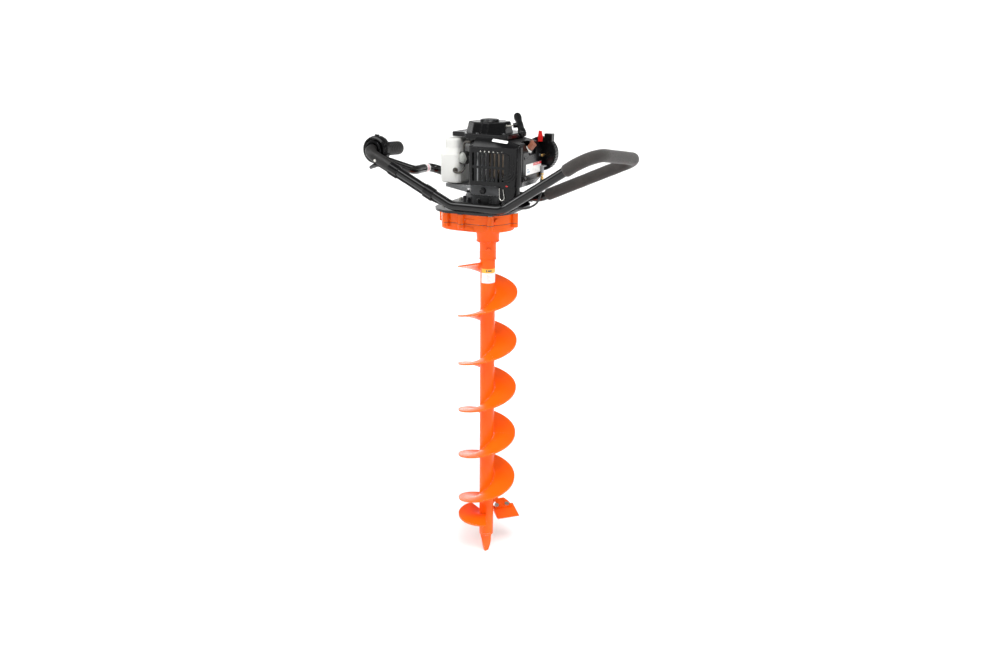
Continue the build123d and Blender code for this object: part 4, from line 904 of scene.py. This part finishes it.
def guard_outlet():
    """Pressed plate, knob, wire clip and a red paint mark under the guard."""
    plate("outlet_plate", (0.032, -0.0842, 1.0235), -AXIS_Y, AXIS_Z, 0.073, 0.0235, 0.0014, 0.003,
          "dark_casting", "powerhead")
    lathed("outlet_knob",
           [(0.0078, 0), (0.0078, 0.004), (0.0066, 0.0066), (0.0040, 0.0078), (0.0036, 0.0066), (0, 0.0064)],
           (0.028, -0.0852, 1.023), -AXIS_Y, "black_plastic", "powerhead")
    clip = rounded_route([(0.071, -0.0868, 1.032), (0.0725, -0.0895, 1.009), (0.0785, -0.0905, 1.003),
                          (0.0855, -0.0895, 1.008), (0.0805, -0.0875, 1.030)], [0.002, 0.003, 0.004], 0.001)
    swept("wire_clip", clip, 0.0008, "zinc_steel", "powerhead", 10)
    plate("paint_mark", (0.092, -0.0923, 1.0385), -AXIS_Y, AXIS_Z, 0.005, 0.003, 0.0003, 0.001,
          "red_plastic", "powerhead")


def shroud_prints():
    face = high("engine_shroud").x
    plate("shroud_label", (face, 0.005, 1.0718), AXIS_X, AXIS_Z, 0.092, 0.0255, 0.0003, 0.0015,
          "shroud_print", "powerhead")
    plate("shroud_label_red", (face + 0.0003, 0.0255, 1.0812), AXIS_X, AXIS_Z, 0.050, 0.0060, 0.0002, 0.001,
          "red_print", "powerhead")
    for k, (y, z) in enumerate(((-0.046, 1.100), (0.040, 1.100), (-0.046, 1.053))):
        cross_screw(f"shroud_screw_{k}", (face, y, z), AXIS_X, 0.0034, "powerhead", "dark_casting")


def starter_details():
    """Ribs of the starter box, its pressed top disc and the cowl's screws."""
    top = 1.1815
    lathed("starter_disc",
           [(0.0225, 0), (0.0222, 0.0008), (0.019, 0.0018), (0.008, 0.0024), (0.0066, 0.0016), (0, 0.0014)],
           (0.003, 0, top - 0.0002), AXIS_Z, "dark_casting", "powerhead", 56)
    for k, x in enumerate((0.006, 0.022)):
        swept(f"starter_rib_{k}", [(x, -0.0533, 1.1515), (x, -0.0500, 1.163), (x, -0.0468, 1.1745)], 0.0013,
              "black_plastic", "powerhead", 10)
    for k, (x, y) in enumerate(((0.062, -0.046), (0.062, 0.056), (-0.060, 0.066), (0.0, -0.0605))):
        cross_screw(f"cowl_screw_{k}", (x, y, 1.152), AXIS_Z, 0.0036, "powerhead", "dark_casting")


PEAR_HALF_WIDTH, PEAR_NARROWING = 0.0102, 0.26
PEAR_ABOVE, PEAR_BELOW = 0.0150, 0.0112
PEAR_PROFILE = [(1.0, 0.0), (1.04, 0.0008), (1.0, 0.0018), (0.93, 0.0022), (0.90, 0.0040),
                (0.80, 0.0062), (0.6, 0.0080), (0.3, 0.0092), (0.0, 0.0096)]


def primer():
    """Pear-shaped rubber bulb with a bead round its foot."""
    face = low("primer_base").y
    x = (low("primer_bulb").x + high("primer_bulb").x) / 2
    z = (low("primer_bulb").z + high("primer_bulb").z) / 2
    vertices, faces, sides = [], [], 40
    for scale, height in PEAR_PROFILE:
        for k in range(sides):
            angle = 2 * math.pi * k / sides
            up = math.sin(angle)
            half_width = PEAR_HALF_WIDTH * (1 - PEAR_NARROWING * max(0.0, up))
            tall = PEAR_ABOVE if up > 0 else PEAR_BELOW
            across = x + half_width * scale * math.cos(angle)
            vertices.append((across, face - height - 0.0002, z + tall * scale * up))
    for i in range(len(PEAR_PROFILE) - 1):
        for k in range(sides):
            a, b = i * sides + k, i * sides + (k + 1) % sides
            faces.append((a, b, b + sides, a + sides))
    faces.append(tuple(range(sides)))
    bulb = piece("primer_pear", vertices, faces, "primer_rubber", "primer")
    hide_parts("primer_bulb")
    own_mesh(bulb)


def filter_knob():
    """Wing nut and washer on the middle of the filter cover."""
    centre = middle("air_filter_cover")
    back = high("air_filter_cover").y
    lathed("filter_washer", [(0.0075, 0), (0.0075, 0.001), (0.004, 0.0012)],
           (centre.x, back - 0.0002, centre.z), AXIS_Y, "zinc_steel", "powerhead")
    for side in (-1, 1):
        bends = ((0, 0.002), (0.006, 0.003), (0.011, 0.006))
        wing = [(centre.x + side * x, back + y, centre.z) for x, y in bends]
        swept(f"filter_wing_{side + 1}", wing, lambda t: 0.0026 - 0.0008 * t, "zinc_steel", "powerhead", 14)


# ---- finishes on the CAD nodes ------------------------------------------------------
def paint_nodes():
    """Gives each CAD node the finish of its material slot in the record."""
    slots = {entry["node"]: entry["material_slot"] for entry in frame["record"]["subparts"]}
    for node, thing in frame["nodes"].items():
        thing.data.materials.clear()
        thing.data.materials.append(MATERIALS[slots[node]])


paint_nodes()
make_camera()
flight_welds()
bit_prints()
socket_rings()
case_details()
frame_welds()
foam_handle()
corner_sleeve()
jog_sticker()
throttle_cord()
pull_cord()
guard_ribs()
guard_hood()
guard_outlet()
shroud_prints()
starter_details()
primer()
filter_knob()
make_stage()
